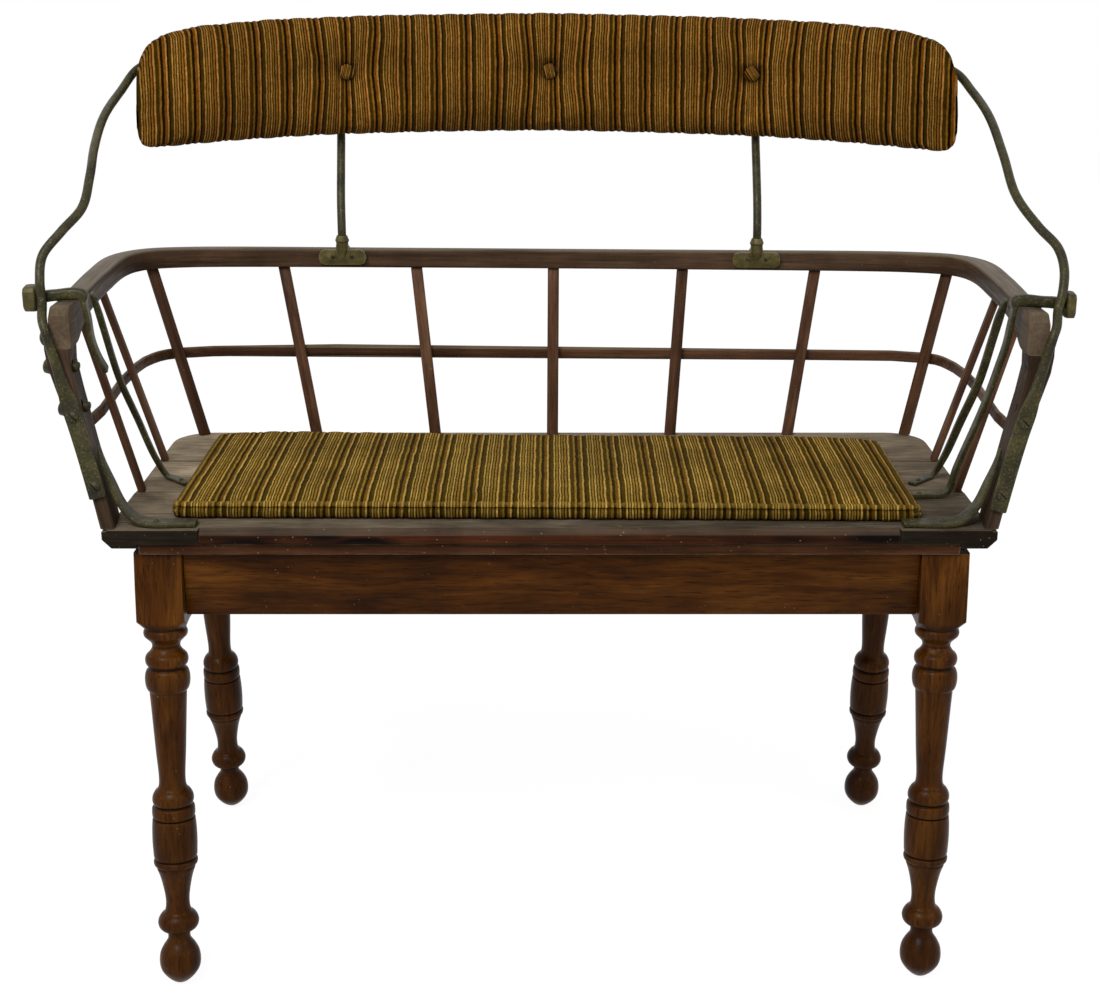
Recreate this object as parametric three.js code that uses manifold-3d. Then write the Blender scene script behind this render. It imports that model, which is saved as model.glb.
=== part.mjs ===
// A wagon seat set on a turned-leg base: a spindle-sided seat with a bent top rail, forged side
// irons that carry a padded backrest, and a loose seat pad. Millimetres, +X to the sitter's left
// as seen from the front (right in a front view), +Y to the back, +Z up from the floor.
import * as THREE from 'three';
import { mergeVertices } from 'three/addons/utils/BufferGeometryUtils.js';
import Module from 'manifold-3d';

const wasm = await Module();
wasm.setup();

// Clearances
const restGap = 0.3;
const armGap = 0.8;
const cutOverrun = 30;

// Seat boards
const seatWidth = 864;
const seatDepth = 360;
const seatTop = 493;
const plankThickness = 15;
const plankEndDrop = 4;
const plankEndProud = 5;
const plankEndCut = 9;
const plankSeam = 1;
const frontPlankDepth = 125;
const middlePlankDepth = 113;
const seatCornerRadius = 42;
const nosingEndInset = 89;
const nosingLength = seatWidth - 2 * nosingEndInset;
const nosingDepth = 9;
const nosingProud = 1.5;
const nosingWear = 5;

// Strips and battens between the seat and the base
const stripThickness = 12;
const stripDepth = 40;
const stripEndInset = 29;
const stripLength = seatWidth - 2 * stripEndInset;
const stripSetback = 4;
const battenWidth = 42;

// Base: aprons and legs
const legEndInset = 44;
const legSpread = seatWidth - 2 * legEndInset;
const baseShift = 2;
const rearLeftSplay = 15;
const rearRightSplay = 3;
const blockSize = 48;
const blockHeight = 76;
const frontLegInset = 29;
const rearLegInset = 22;
const legLeanHeight = 440;
const frontLeftLean = 5.9;
const frontRightLean = 4.3;
const rearLean = 5.5;
const barrelRadius = 22.8;
const shoulderDrop = 7;
const cornerReachShare = 0.8;
const footTrim = 1.5;
const apronHeight = 66;
const apronThickness = 18;
const apronRecess = 8;

// Top rail, mid rail and spindles
const railHalfWidth = 481;
const railRise = 210;
const railTop = seatTop + railRise;
const railRoll = 0.007;
const railThickness = 19;
const railBackOverhang = 27.5;
const railBackSetback = seatDepth + railBackOverhang;
const noseSetback = 35;
const noseHeight = 41;
const noseBevel = 8;
const railChamfer = 2.5;
const midRailRise = 101;
const midRailTop = seatTop + midRailRise;
const midRailHeight = 12.3;
const midRailSag = 5;
const midRailThickness = 6;
const midRailEndGap = 1.3;
const midRailEndDrop = 9;
const spindleWidth = 13;
const spindleThickness = 7.5;
const spindleChamfer = 1.5;
const spindleHeadGap = 0.5;
const spindleFootInset = 11;
const sideSpindleInset = 7;
const sideSpindleSetbacks = [129, 244];

// Front posts
const postDepth = 44;
const postFootWidth = 14;
const postHeadWidth = 25;
const postFootProud = 6;
const postFootOut = seatWidth / 2 + postFootProud;
const postFlare = 0.1;
const postHeadProud = 6.5;
const postHeadOut = railHalfWidth + postHeadProud;
const postFootSetback = 2;
const postTongueThickness = 5.4;
const postTongueRise = 18;
const postChamfer = 2;

// Side irons: a strap on the post that runs up into a round rod behind the backrest
const ironFootRise = { left: 31, right: 18 };
const strapWidth = 16.5;
const strapThickness = 4.5;
const rodDiameter = 9.2;
const ironEndInset = 8;
const ironTail = 50;

// Bracket irons across the arms, with a bolt that carries a nut
const bracketSetback = 66;
const bracketWidth = 12;
const bracketThickness = 11;
const bracketGap = 7;
const bracketSplay = 2;
const bracketToeInset = 61;
const bracketStrapThickness = 5;
const nutSize = 26;
const nutDrop = 2.5;
const nuts = {
  left: { standoff: 5, thickness: 13 },
  right: { standoff: 5.2, thickness: 9 },
};
const boltDiameter = 9;
const boltReach = 8;

// Thin seat braces, the feet of the braces and the corner irons
const braceSetback = 122;
const braceFootSetback = 173;
const braceFootInset = 25;
const braceToe = 26;
const braceWidths = { left: 6.5, right: 8.5 };
const braceDepth = 6;
const braceEndWidth = 10;
const braceEndThickness = 3.5;
const cornerIronWidth = 20;
const cornerIronThickness = 5;
const cornerIronSetback = 15;
const cornerIronReach = 86;

// Backrest: an arc in plan that leans back, with a board behind the pad
const backrestRadius = 1000;
const backrestHalfLength = 458.5;
const backrestShift = -2.5;
const backrestRoll = 0.005;
const backrestHeight = 133.6;
const backrestRise = 337.3;
const backrestFoot = seatTop + backrestRise;
const backrestOverhang = 64;
const backrestSetback = seatDepth + backrestOverhang;
const backrestLean = 8;
const boardThickness = 9;
const boardInset = 4;
const padThickness = 22;
const padEdgeShare = 0.4;
const buttonRadius = 8;
const buttonThickness = 6;
const buttonSink = 1.5;
const buttonSpacing = 229;
const buttonHeight = 69;
const tuftDepth = 7;
const tuftRadius = 26;

// Centre props and the clips that hold them on the rail
const propFootHalfSpacing = 236.5;
const propHeadSpacing = { left: 233.6, right: 231 };
const propDiameter = 9.5;
const propInset = 11.5;
const propSetback = railBackSetback - propInset;
const propTail = 90;
const collarDiameter = 15;
const collarHeight = 16;
const clipWidth = 54;
const clipHeight = 17;
const clipThickness = 5;
const clipFloor = 3;

// Loose seat pad: its thickness, and how far its corners lie from the seat's ends and edges
const seatPadThickness = 13.5;
const seatPadEdge = 5;
const seatPadCrown = 3.5;
const seatPadDrawIn = 2;
const seatPadRearBow = 17;
const seatPadCornerRadius = 12;
const seatPadInsets = {
  frontLeft: { end: 57, edge: 36 },
  frontRight: { end: 65, edge: 25 },
  rearLeft: { end: 56, edge: 51 },
  rearRight: { end: 63, edge: 79 },
};

// Fasteners
const screwHeadRadius = 5;
const screwHeadHeight = 2.5;
const screwShankRadius = 2.2;
const screwLength = 12;
const boltHeadRadius = 8;
const boltHeadHeight = 6;
const boltTip = 3;

const sides = [['left', -1], ['right', 1]];
const seatHalf = seatWidth / 2;
const seatUnderside = seatTop - plankThickness;
const baseTop = seatUnderside - stripThickness;
const legHalf = legSpread / 2;
const blockBottom = baseTop - blockHeight;
const degrees = THREE.MathUtils.degToRad;

const at = (x, y, z) => new THREE.Vector3(x, y, z);
const between = (low, high, share) => low + (high - low) * share;

// Finishes
const finish = (color, roughness, metalness) =>
  new THREE.MeshStandardMaterial({ color, roughness, metalness });
const baseWood = () => finish(0x6b3d1c, 0.45, 0);
const railWood = () => finish(0x4a2f22, 0.6, 0);
const seatWood = () => finish(0x6d5a48, 0.8, 0);
const paintedIron = () => finish(0x4d4d2a, 0.55, 0.3);
const castBrass = () => finish(0x6a6233, 0.5, 0.6);
const stripedCloth = () => finish(0x6e4f14, 0.95, 0);
const paleWood = () => finish(0x8a6b45, 0.8, 0);

// Six times the volume that a triangle list encloses, to tell which way its faces point
function signedVolume(positions, triangles) {
  const [a, b, c] = [at(0, 0, 0), at(0, 0, 0), at(0, 0, 0)];
  let sum = 0;
  for (let i = 0; i < triangles.length; i += 3) {
    a.fromArray(positions, triangles[i] * 3);
    b.fromArray(positions, triangles[i + 1] * 3);
    c.fromArray(positions, triangles[i + 2] * 3);
    sum += a.dot(b.cross(c));
  }
  return sum;
}

// A closed body through rings that all have the same number of points
function loft(rings) {
  const count = rings[0].length;
  const positions = rings.flat().flatMap((point) => point.toArray());
  const triangles = [];
  for (let r = 0; r < rings.length - 1; r += 1) {
    for (let k = 0; k < count; k += 1) {
      const here = r * count + k;
      const next = r * count + (k + 1) % count;
      triangles.push(here, next, next + count, here, next + count, here + count);
    }
  }
  const last = (rings.length - 1) * count;
  for (let k = 1; k < count - 1; k += 1) {
    triangles.push(0, k + 1, k, last, last + k, last + k + 1);
  }
  if (signedVolume(positions, triangles) < 0) triangles.reverse();
  const geometry = new THREE.BufferGeometry();
  geometry.setAttribute('position', new THREE.Float32BufferAttribute(positions, 3));
  geometry.setIndex(triangles);
  geometry.computeVertexNormals();
  return geometry;
}

// Flat outlines for sections: a bar with eased corners and a round
function barSection(width, height, chamfer) {
  const [u, v] = [width / 2, height / 2];
  return [
    [u - chamfer, -v], [u, -v + chamfer], [u, v - chamfer], [u - chamfer, v],
    [-u + chamfer, v], [-u, v - chamfer], [-u, -v + chamfer], [-u + chamfer, -v],
  ];
}

// A section that goes from round to an eased bar as squareness goes from 0 to 1
const sectionPoints = 10;
const squarestShare = 0.75;

function softSection(width, thickness, squareness) {
  const power = 1 - squarestShare * squareness;
  const bent = (value) => Math.sign(value) * Math.abs(value) ** power;
  return Array.from({ length: sectionPoints }, (_, k) => {
    const angle = ((k + 1 / 2) / sectionPoints) * 2 * Math.PI;
    return [(width / 2) * bent(Math.cos(angle)), (thickness / 2) * bent(Math.sin(angle))];
  });
}

function ring(section, centre, across, up) {
  return section.map(([u, v]) => centre.clone().addScaledVector(across, u).addScaledVector(up, v));
}

// A bar along points: its width lies along the hint, or starts there and is carried round bends
function sweep(points, sectionAt, hint, carried) {
  let across = hint;
  return loft(points.map((point, i) => {
    const before = points[Math.max(i - 1, 0)];
    const after = points[Math.min(i + 1, points.length - 1)];
    const along = after.clone().sub(before).normalize();
    const from = carried ? across : hint;
    across = from.clone().addScaledVector(along, -from.dot(along)).normalize();
    const up = along.clone().cross(across);
    return ring(sectionAt(i), point, across, up);
  }));
}

const forgedSteps = 2;

// A forged iron through rows of place, width, thickness and squareness, smoothly joined
function forged(rows, hint, carried) {
  const path = new THREE.CatmullRomCurve3(rows.map(([place]) => place), false, 'centripetal');
  const sizes = new THREE.CatmullRomCurve3(
    rows.map(([, width, thickness, squareness]) => at(width, thickness, squareness)),
    false, 'catmullrom');
  const steps = (rows.length - 1) * forgedSteps;
  const sectionAt = (i) => {
    const size = sizes.getPoint(i / steps);
    return softSection(size.x, size.y, THREE.MathUtils.clamp(size.z, 0, 1));
  };
  const lowest = Math.min(...rows.map(([place]) => place.z));
  const points = path.getPoints(steps).map((p) => p.setZ(Math.max(p.z, lowest)));
  return sweep(points, sectionAt, hint, carried);
}

// A polygon in plan given a height
function slab(outline, bottom, height) {
  const shape = new THREE.Shape(outline.map(([x, y]) => new THREE.Vector2(x, y)));
  const geometry = new THREE.ExtrudeGeometry(shape, { depth: height, bevelEnabled: false });
  return geometry.translate(0, 0, bottom);
}

function box(xs, ys, zs) {
  const geometry = new THREE.BoxGeometry(xs[1] - xs[0], ys[1] - ys[0], zs[1] - zs[0]);
  return geometry.translate((xs[0] + xs[1]) / 2, (ys[0] + ys[1]) / 2, (zs[0] + zs[1]) / 2);
}

// Booleans
function solid(geometry) {
  const bare = geometry.clone();
  bare.deleteAttribute('normal');
  if (bare.hasAttribute('uv')) bare.deleteAttribute('uv');
  const merged = mergeVertices(bare);
  return new wasm.Manifold(new wasm.Mesh({
    numProp: 3,
    vertProperties: merged.attributes.position.array,
    triVerts: Uint32Array.from(merged.index.array),
  }));
}

function fromSolid(body) {
  const result = body.getMesh();
  const geometry = new THREE.BufferGeometry();
  geometry.setAttribute('position', new THREE.BufferAttribute(result.vertProperties, 3));
  geometry.setIndex(new THREE.BufferAttribute(result.triVerts, 1));
  geometry.computeVertexNormals();
  return geometry;
}

const bench = new THREE.Group();

function add(name, geometry, material) {
  const mesh = new THREE.Mesh(geometry, material);
  mesh.name = name;
  bench.add(mesh);
  return mesh;
}

// Turned legs. Heights are shares of the turned length and radii shares of the barrel radius
const turningShares = [
  [0, 0.14], [0.008, 0.38], [0.025, 0.68], [0.044, 0.875], [0.066, 0.93], [0.09, 0.875],
  [0.108, 0.73], [0.128, 0.52], [0.152, 0.53], [0.16, 0.78], [0.178, 0.92], [0.2, 0.78],
  [0.211, 0.58], [0.24, 0.53], [0.297, 0.675], [0.32, 0.78], [0.343, 0.975], [0.357, 0.945],
  [0.368, 0.985], [0.415, 1], [0.46, 0.975], [0.477, 0.925], [0.489, 0.95], [0.51, 0.9],
  [0.543, 0.63], [0.574, 0.59], [0.672, 0.675], [0.822, 0.815], [0.838, 0.93], [0.856, 0.985],
  [0.887, 0.85], [0.902, 0.935], [0.937, 0.61], [0.955, 0.78], [0.975, 0.95], [1, 0.86],
];
const legFacets = 14;

function legBlank() {
  const shoulder = blockBottom - shoulderDrop;
  const flare = blockSize * cornerReachShare;
  const top = baseTop + cutOverrun;
  const profile = turningShares.map(([height, radius]) =>
    new THREE.Vector2(radius * barrelRadius, between(-footTrim, shoulder, height)));
  profile.unshift(new THREE.Vector2(0, -footTrim));
  profile.push(new THREE.Vector2(flare, blockBottom + shoulderDrop));
  profile.push(new THREE.Vector2(flare, top), new THREE.Vector2(0, top));
  const turned = new THREE.LatheGeometry(profile, legFacets).rotateX(Math.PI / 2);
  const half = blockSize / 2;
  const square = box([-half, half], [-half, half], [-cutOverrun, top]);
  return solid(turned).intersect(solid(square));
}

// Where the centre line of a leg stands, at a height, and how it leans
const rearLegSetback = seatDepth - rearLegInset;
const legs = [
  { name: 'leg_front_left', x: baseShift - legHalf, y: frontLegInset,
    lean: -degrees(frontLeftLean) },
  { name: 'leg_front_right', x: baseShift + legHalf, y: frontLegInset,
    lean: -degrees(frontRightLean) },
  { name: 'leg_rear_left', x: baseShift - legHalf - rearLeftSplay, y: rearLegSetback,
    lean: degrees(rearLean) },
  { name: 'leg_rear_right', x: baseShift + legHalf + rearRightSplay, y: rearLegSetback,
    lean: degrees(rearLean) },
];
const legCentreAt = (leg, height) =>
  leg.y - (height - legLeanHeight) * Math.tan(leg.lean);
const legFaceReach = (leg) => blockSize / 2 / Math.cos(leg.lean);

function addLegs() {
  const reach = seatWidth;
  const below = box([-reach, reach], [-reach, reach], [-reach, 0]);
  const above = box([-reach, reach], [-reach, reach], [baseTop - restGap, baseTop + reach]);
  const cutters = solid(below).add(solid(above));
  for (const leg of legs) {
    const stretch = 1 / Math.cos(leg.lean);
    const placed = fromSolid(legBlank()).translate(0, 0, -legLeanHeight).scale(1, 1, stretch);
    placed.rotateX(leg.lean).translate(leg.x, leg.y, legLeanHeight);
    add(leg.name, fromSolid(solid(placed).subtract(cutters)), baseWood());
  }
}

// Aprons: boards between the leg blocks, set back from their faces
const apronBottom = baseTop - apronHeight;
const frontApronFace = frontLegInset - blockSize / 2 + apronRecess;
const rearApronFace = rearLegSetback + blockSize / 2 - apronRecess;
const sideApronFace = legHalf + blockSize / 2 - apronRecess;

function addAprons() {
  const room = blockSize / 2 + restGap;
  const [frontLeft, frontRight, rearLeft, rearRight] = legs.map((leg) => leg.x);
  const heights = [apronBottom, baseTop - restGap];
  const frontDepths = [frontApronFace, frontApronFace + apronThickness];
  const rearDepths = [rearApronFace - apronThickness, rearApronFace];
  add('apron_front', box([frontLeft + room, frontRight - room], frontDepths, heights), baseWood());
  add('apron_rear', box([rearLeft + room, rearRight - room], rearDepths, heights), baseWood());
  const turn = new THREE.Matrix4().makeBasis(at(0, 1, 0), at(0, 0, 1), at(1, 0, 0));
  for (const [side, sign] of sides) {
    const [front, rear] = legs.filter((leg) => Math.sign(leg.x) === sign);
    const frontEnd = (z) => legCentreAt(front, z) + legFaceReach(front) + restGap;
    const rearEnd = (z) => legCentreAt(rear, z) - legFaceReach(rear) - restGap;
    const [low, high] = heights;
    const outline = [
      [frontEnd(low), low], [rearEnd(low), low], [rearEnd(high), high], [frontEnd(high), high],
    ];
    const board = slab(outline, 0, apronThickness).applyMatrix4(turn);
    const inner = baseShift + (sign > 0 ? sideApronFace - apronThickness : -sideApronFace);
    add(`apron_${side}`, board.translate(inner, 0, 0), baseWood());
  }
}

// Strips and battens that carry the seat boards over the base
function addSeatBearers() {
  const half = stripLength / 2;
  const heights = [baseTop, seatUnderside - restGap];
  const frontStrip = [stripSetback, stripSetback + stripDepth];
  const rearStrip = [seatDepth - stripSetback - stripDepth, seatDepth - stripSetback];
  add('seat_strip_front', box([-half, half], frontStrip, heights), baseWood());
  add('seat_strip_rear', box([-half, half], rearStrip, heights), baseWood());
  const run = [frontStrip[1] + restGap, rearStrip[0] - restGap];
  for (const [side, sign] of sides) {
    const span = [sign * half, sign * (half - battenWidth)].sort((a, b) => a - b);
    add(`seat_batten_${side}`, box(span, run, heights), paleWood());
  }
}

// Seat boards: three planks side by side, and a nosing let into the front one
const frontSeam = frontPlankDepth;
const rearSeam = frontPlankDepth + plankSeam + middlePlankDepth;

function roundedRear(cornerSteps) {
  const [x, y, r] = [seatHalf - seatCornerRadius, seatDepth - seatCornerRadius, seatCornerRadius];
  const arc = Array.from({ length: cornerSteps + 1 }, (_, k) => {
    const angle = (k / cornerSteps) * (Math.PI / 2);
    return [x + r * Math.cos(angle), y + r * Math.sin(angle)];
  });
  return [...arc, ...arc.map(([u, v]) => [-u, v]).reverse()];
}

function addSeatBoards() {
  const halfNosing = nosingLength / 2;
  const frontOutline = [
    [-seatHalf, 0], [-halfNosing, 0], [-halfNosing, nosingDepth],
    [halfNosing, nosingDepth], [halfNosing, 0], [seatHalf, 0],
    [seatHalf, frontSeam], [-seatHalf, frontSeam],
  ];
  const middleFront = frontSeam + plankSeam;
  const rearFront = rearSeam + plankSeam;
  const rearOutline = [[-seatHalf, rearFront], [seatHalf, rearFront], ...roundedRear(8)];
  const put = (name, outline) =>
    add(name, slab(outline, seatUnderside, plankThickness), seatWood());
  const bare = solid(slab(frontOutline, seatUnderside, plankThickness));
  const front = sides.reduce((body, [, sign]) => {
    const [inner, outer] = [stripLength / 2 + restGap, seatHalf + plankEndProud];
    const [low, high] = [seatUnderside - plankEndDrop, seatTop - nosingProud];
    const outline = [[inner, low], [outer - plankEndCut, low], [outer, low + plankEndCut],
      [outer, high], [inner, high]].map(([x, z]) => [sign * x, z]);
    const cleat = slab(sign > 0 ? outline : outline.reverse(), 0, stripSetback + stripDepth);
    return body.add(solid(cleat.rotateX(Math.PI / 2).translate(0, stripSetback + stripDepth, 0)));
  }, bare);
  add('seat_plank_front', fromSolid(front), seatWood());
  add('seat_plank_middle',
    box([-seatHalf, seatHalf], [middleFront, rearSeam], [seatUnderside, seatTop]), seatWood());
  put('seat_plank_rear', rearOutline);
  const ease = nosingProud + restGap;
  const section = [
    [nosingDepth - restGap, seatUnderside], [nosingDepth - restGap, seatTop],
    [nosingWear, seatTop], [-nosingProud, seatTop - nosingWear],
    [-nosingProud, seatUnderside + ease], [ease, seatUnderside],
  ];
  const turn = new THREE.Matrix4().makeBasis(at(0, 1, 0), at(0, 0, 1), at(1, 0, 0));
  const length = nosingLength - 2 * restGap;
  const nosing = slab(section, -length / 2, length).applyMatrix4(turn);
  add('seat_nosing', nosing, baseWood());
}

// Reads a table of shares at a place, straight between its rows
function readShares(rows, place) {
  const upper = Math.max(rows.findIndex((row) => row[0] >= place), 1);
  const [low, high] = [rows[upper - 1], rows[upper]];
  return between(low[1], high[1], (place - low[0]) / (high[0] - low[0]));
}

// Top rail: its centre line in plan, its height and its thickness, from the left arm's front end
// to the middle of the back; the right half mirrors it
const railShares = [
  { across: 0.979, back: 0, height: 1, thickness: 1.05 },
  { across: 0.979, back: 0.08, height: 1, thickness: 1.05 },
  { across: 0.982, back: 0.16, height: 0.74, thickness: 1.08 },
  { across: 0.987, back: 0.26, height: 0.6, thickness: 1.15 },
  { across: 1, back: 0.559, height: 0.54, thickness: 1.28 },
  { across: 1.002, back: 0.8, height: 0.53, thickness: 1.3 },
  { across: 0.945, back: 0.95, height: 0.53, thickness: 1.15 },
  { across: 0.82, back: 0.995, height: 0.53, thickness: 0.98 },
  { across: 0.416, back: 1, height: 0.52, thickness: 0.9 },
  { across: 0, back: 1, height: 0.515, thickness: 0.9 },
];
const railSteps = 42;
const railTopAt = (x) => railTop - x * railRoll;

function mirrored(shares) {
  const rest = shares.slice(0, -1).reverse();
  return [...shares.map((s) => ({ ...s, across: -s.across })), ...rest];
}

const railStations = mirrored(railShares);
const railPlan = new THREE.CatmullRomCurve3(railStations.map((s) =>
  at(s.across * railHalfWidth, between(noseSetback, railBackSetback, s.back), 0)),
false, 'centripetal');
const railSizes = new THREE.CatmullRomCurve3(railStations.map((s) =>
  at(s.height * noseHeight, s.thickness * railThickness, 0)), false, 'centripetal');

function railUnderside(share) {
  const held = THREE.MathUtils.clamp(share, 0, 1);
  const { x, y } = railPlan.getPoint(held);
  const { x: height, y: thickness } = railSizes.getPoint(held);
  return { point: at(x, y, railTopAt(x) - height), height, thickness };
}

// The rail at a share of its run: the middle of its underside, its direction and its height
function railAt(share) {
  const { point: underside, height, thickness } = railUnderside(share);
  const [before, after] = [-1, 1].map((step) => railUnderside(share + step / railTries).point);
  const along = after.sub(before).normalize();
  const inward = at(along.y, -along.x, 0).normalize();
  return { underside, along, inward, height, thickness };
}

const railTries = 800;
const railRun = Array.from({ length: railTries + 1 }, (_, k) => k / railTries);

function railWhere(distance) {
  const apart = railRun.map((share) => distance(railUnderside(share).point));
  return railAt(railRun[apart.indexOf(Math.min(...apart))]);
}
const railAtX = (x) => railWhere((p) => Math.abs(p.x - x) + Math.max(railBackSetback / 2 - p.y, 0));
const railAtY = (y, sign) => railWhere((p) => Math.abs(p.y - y) + Math.max(-sign * p.x, 0));

function addTopRail() {
  const bevel = noseBevel / railPlan.getLength();
  const inner = Array.from({ length: railSteps - 1 }, (_, k) => (k + 1) / railSteps);
  const rings = [0, bevel, ...inner, 1 - bevel, 1].map((share) => {
    const { underside, inward, height, thickness } = railAt(share);
    const shown = share === 0 || share === 1 ? height - noseBevel : height;
    const centre = underside.clone().add(at(0, 0, shown / 2));
    return ring(barSection(thickness, shown, railChamfer), centre, inward, at(0, 0, 1));
  });
  add('top_rail', loft(rings), railWood());
}

// Spindles stand on the seat near its edge and meet the underside of the rail
const backSpindleShares = [
  { foot: -0.928, top: -0.944 }, { foot: -0.626, top: -0.636 }, { foot: -0.307, top: -0.314 },
  { foot: 0.008, top: 0.005 },
  { foot: 0.324, top: 0.321 }, { foot: 0.64, top: 0.64 }, { foot: 0.955, top: 0.944 },
];

const backSpindles = backSpindleShares.map(({ foot, top }, i) => ({
  name: `spindle_back_${i + 1}`,
  foot: at(foot * seatHalf, seatDepth - spindleFootInset, seatTop + restGap),
  rail: railAtX(top * railHalfWidth),
}));
const sideSpindles = sides.flatMap(([side, sign]) => sideSpindleSetbacks.map((y, i) => ({
  name: `spindle_${side}_${['front', 'rear'][i]}`,
  foot: at(sign * (seatHalf - sideSpindleInset), y, seatTop + restGap),
  rail: railAtY(y, sign),
})));
const headOf = (spindle) => spindle.rail.underside.clone().sub(at(0, 0, spindleHeadGap));

function addSpindles() {
  const section = barSection(spindleWidth, spindleThickness, spindleChamfer);
  for (const spindle of [...backSpindles, ...sideSpindles]) {
    const { along, inward } = spindle.rail;
    const level = at(-inward.y, inward.x, 0);
    const foot = ring(section, spindle.foot, level, inward);
    const head = ring(section, headOf(spindle), along, inward);
    add(spindle.name, loft([foot, head]), railWood());
  }
}

// Front posts: curved stiles from the seat's front corners to the arms, with a tongue outside
const postShares = [
  { height: 0, out: 0, width: 0 },
  { height: 0.19, out: 0.16, width: 0 },
  { height: 0.4, out: 0.36, width: 0.1 },
  { height: 0.55, out: 0.52, width: 0.22 },
  { height: 0.74, out: 0.75, width: 0.45 },
  { height: 0.9, out: 0.94, width: 0.75 },
  { height: 1, out: 1, width: 1 },
];
const outShares = postShares.map(({ height, out }) => [height, out]);
const widthShares = postShares.map(({ height, width }) => [height, width]);
const postFoot = seatTop + restGap;
const postHeadAt = (sign) => railTopAt(sign * railHalfWidth) - noseHeight - restGap;

// The post at a share of its height: outer face, width, front face and level
function postAt(sign, share) {
  return {
    out: between(postFootOut, postHeadOut, readShares(outShares, share)),
    width: between(postFootWidth, postHeadWidth, readShares(widthShares, share)),
    front: between(postFootSetback, noseSetback, share),
    level: between(postFoot, postHeadAt(sign), share),
  };
}

function addPosts() {
  for (const [side, sign] of sides) {
    const rings = postShares.map(({ height }) => {
      const { out, width, front, level } = postAt(sign, height);
      const flare = at(sign * postFlare, 1, 0);
      const centre = at(sign * (out - width / 2), front, level)
        .addScaledVector(flare, postDepth / 2);
      return ring(barSection(width, postDepth, postChamfer), centre, at(1, 0, 0), flare);
    });
    const head = postAt(sign, 1);
    const across = [sign * head.out, sign * (head.out - postTongueThickness)];
    const depths = [head.front + postChamfer, head.front + postDepth - postChamfer];
    const tongue = box(across.sort((a, b) => a - b), depths,
      [head.level - postChamfer, head.level + postTongueRise]);
    add(`post_${side}`, fromSolid(solid(loft(rings)).add(solid(tongue))), railWood());
  }
}

// Mid rail: a thin slat bent round the outside of the spindles, from post to post
function addMidRail() {
  const level = midRailTop - midRailHeight / 2;
  const outset = (spindleThickness + midRailThickness) / 2 + restGap;
  const beside = (spindle) => {
    const head = headOf(spindle);
    const point = spindle.foot.clone().lerp(head, (level - spindle.foot.z) / (head.z - postFoot));
    const slope = Math.abs(head.clone().sub(spindle.foot).dot(spindle.rail.inward))
      / (head.z - postFoot);
    point.addScaledVector(spindle.rail.inward, -outset - slope * midRailHeight / 2);
    const sag = midRailSag * Math.min(Math.abs(point.x) / seatHalf, 1) ** 2;
    return point.setZ(level - sag - point.x * railRoll);
  };
  const [leftFront, leftRear, rightFront, rightRear] = sideSpindles.map(beside);
  [leftFront, rightFront].forEach((point) => point.setZ(point.z - midRailEndDrop / 2));
  const [leftCorner, rightCorner] = sides.map(([, sign]) => beside({
    foot: at(sign * (seatHalf - spindleFootInset), seatDepth - seatCornerRadius, postFoot),
    rail: railAtY(railBackSetback - seatCornerRadius, sign),
  }));
  const [leftEnd, rightEnd] = sides.map(([, sign]) => {
    const { out, width, front } = postAt(sign, (level - postFoot) / (postHeadAt(sign) - postFoot));
    const x = sign * (out - width / 2 + postFlare * postDepth);
    return at(x, front + postDepth + midRailEndGap, level - midRailEndDrop - x * railRoll);
  });
  const route = [leftEnd, leftFront, leftRear, leftCorner, ...backSpindles.map(beside),
    rightCorner, rightRear, rightFront, rightEnd];
  const path = new THREE.CatmullRomCurve3(route, false, 'centripetal');
  const section = barSection(midRailHeight, midRailThickness, spindleChamfer);
  const points = path.getPoints(route.length * 3);
  add('mid_rail', sweep(points, () => section, at(0, 0, 1), false), railWood());
  const roomSection = barSection(midRailHeight + 2 * restGap, midRailThickness + 2 * restGap,
    spindleChamfer);
  const room = solid(sweep(points, () => roomSection, at(0, 0, 1), false));
  for (const name of [...backSpindles, ...sideSpindles].map((spindle) => spindle.name)) {
    const spindle = bench.getObjectByName(name);
    spindle.geometry = fromSolid(solid(spindle.geometry).subtract(room));
  }
}

// Backrest: a place along its arc, up its lean and in from the pad's front face
function backPoint(along, rise, depth) {
  const angle = along / backrestRadius;
  const lean = degrees(backrestLean);
  const radius = backrestRadius + depth;
  return at(radius * Math.sin(angle),
    backrestSetback - backrestRadius + radius * Math.cos(angle) + rise * Math.sin(lean),
    backrestFoot + rise * Math.cos(lean) - radius * Math.sin(angle) * backrestRoll);
}

// Its outline: the top and the bottom edge in shares of its height, along shares of its half
const backTopShares = [
  [0, 1], [0.415, 0.979], [0.668, 0.95], [0.854, 0.9], [0.936, 0.83], [0.968, 0.75],
  [0.985, 0.645], [0.996, 0.51], [1, 0.23],
];
const backFootShares = [
  [0, 0.01], [0.3, 0], [0.55, -0.012], [0.749, -0.036], [0.944, -0.07], [0.99, -0.05], [1, 0.08],
];
const backEndShares = [0.985, 0.995, 1];
const backAlong = (share) => backrestShift + share * backrestHalfLength;
const backShare = (along) => (along - backrestShift) / backrestHalfLength;
const backTop = (share) => backrestHeight * readShares(backTopShares, Math.abs(share));
const backBottom = (share) => backrestHeight * readShares(backFootShares, Math.abs(share));

function backStations(count) {
  const inner = Array.from({ length: count + 1 }, (_, k) =>
    between(-backEndShares[0], backEndShares[0], k / count));
  const ends = backEndShares.slice(1);
  return [...ends.map((share) => -share).reverse(), ...inner, ...ends];
}

// How deep the buttons draw the pad in, and how thick it is across its height
const buttonPlaces = [-buttonSpacing, 0, buttonSpacing];

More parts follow.
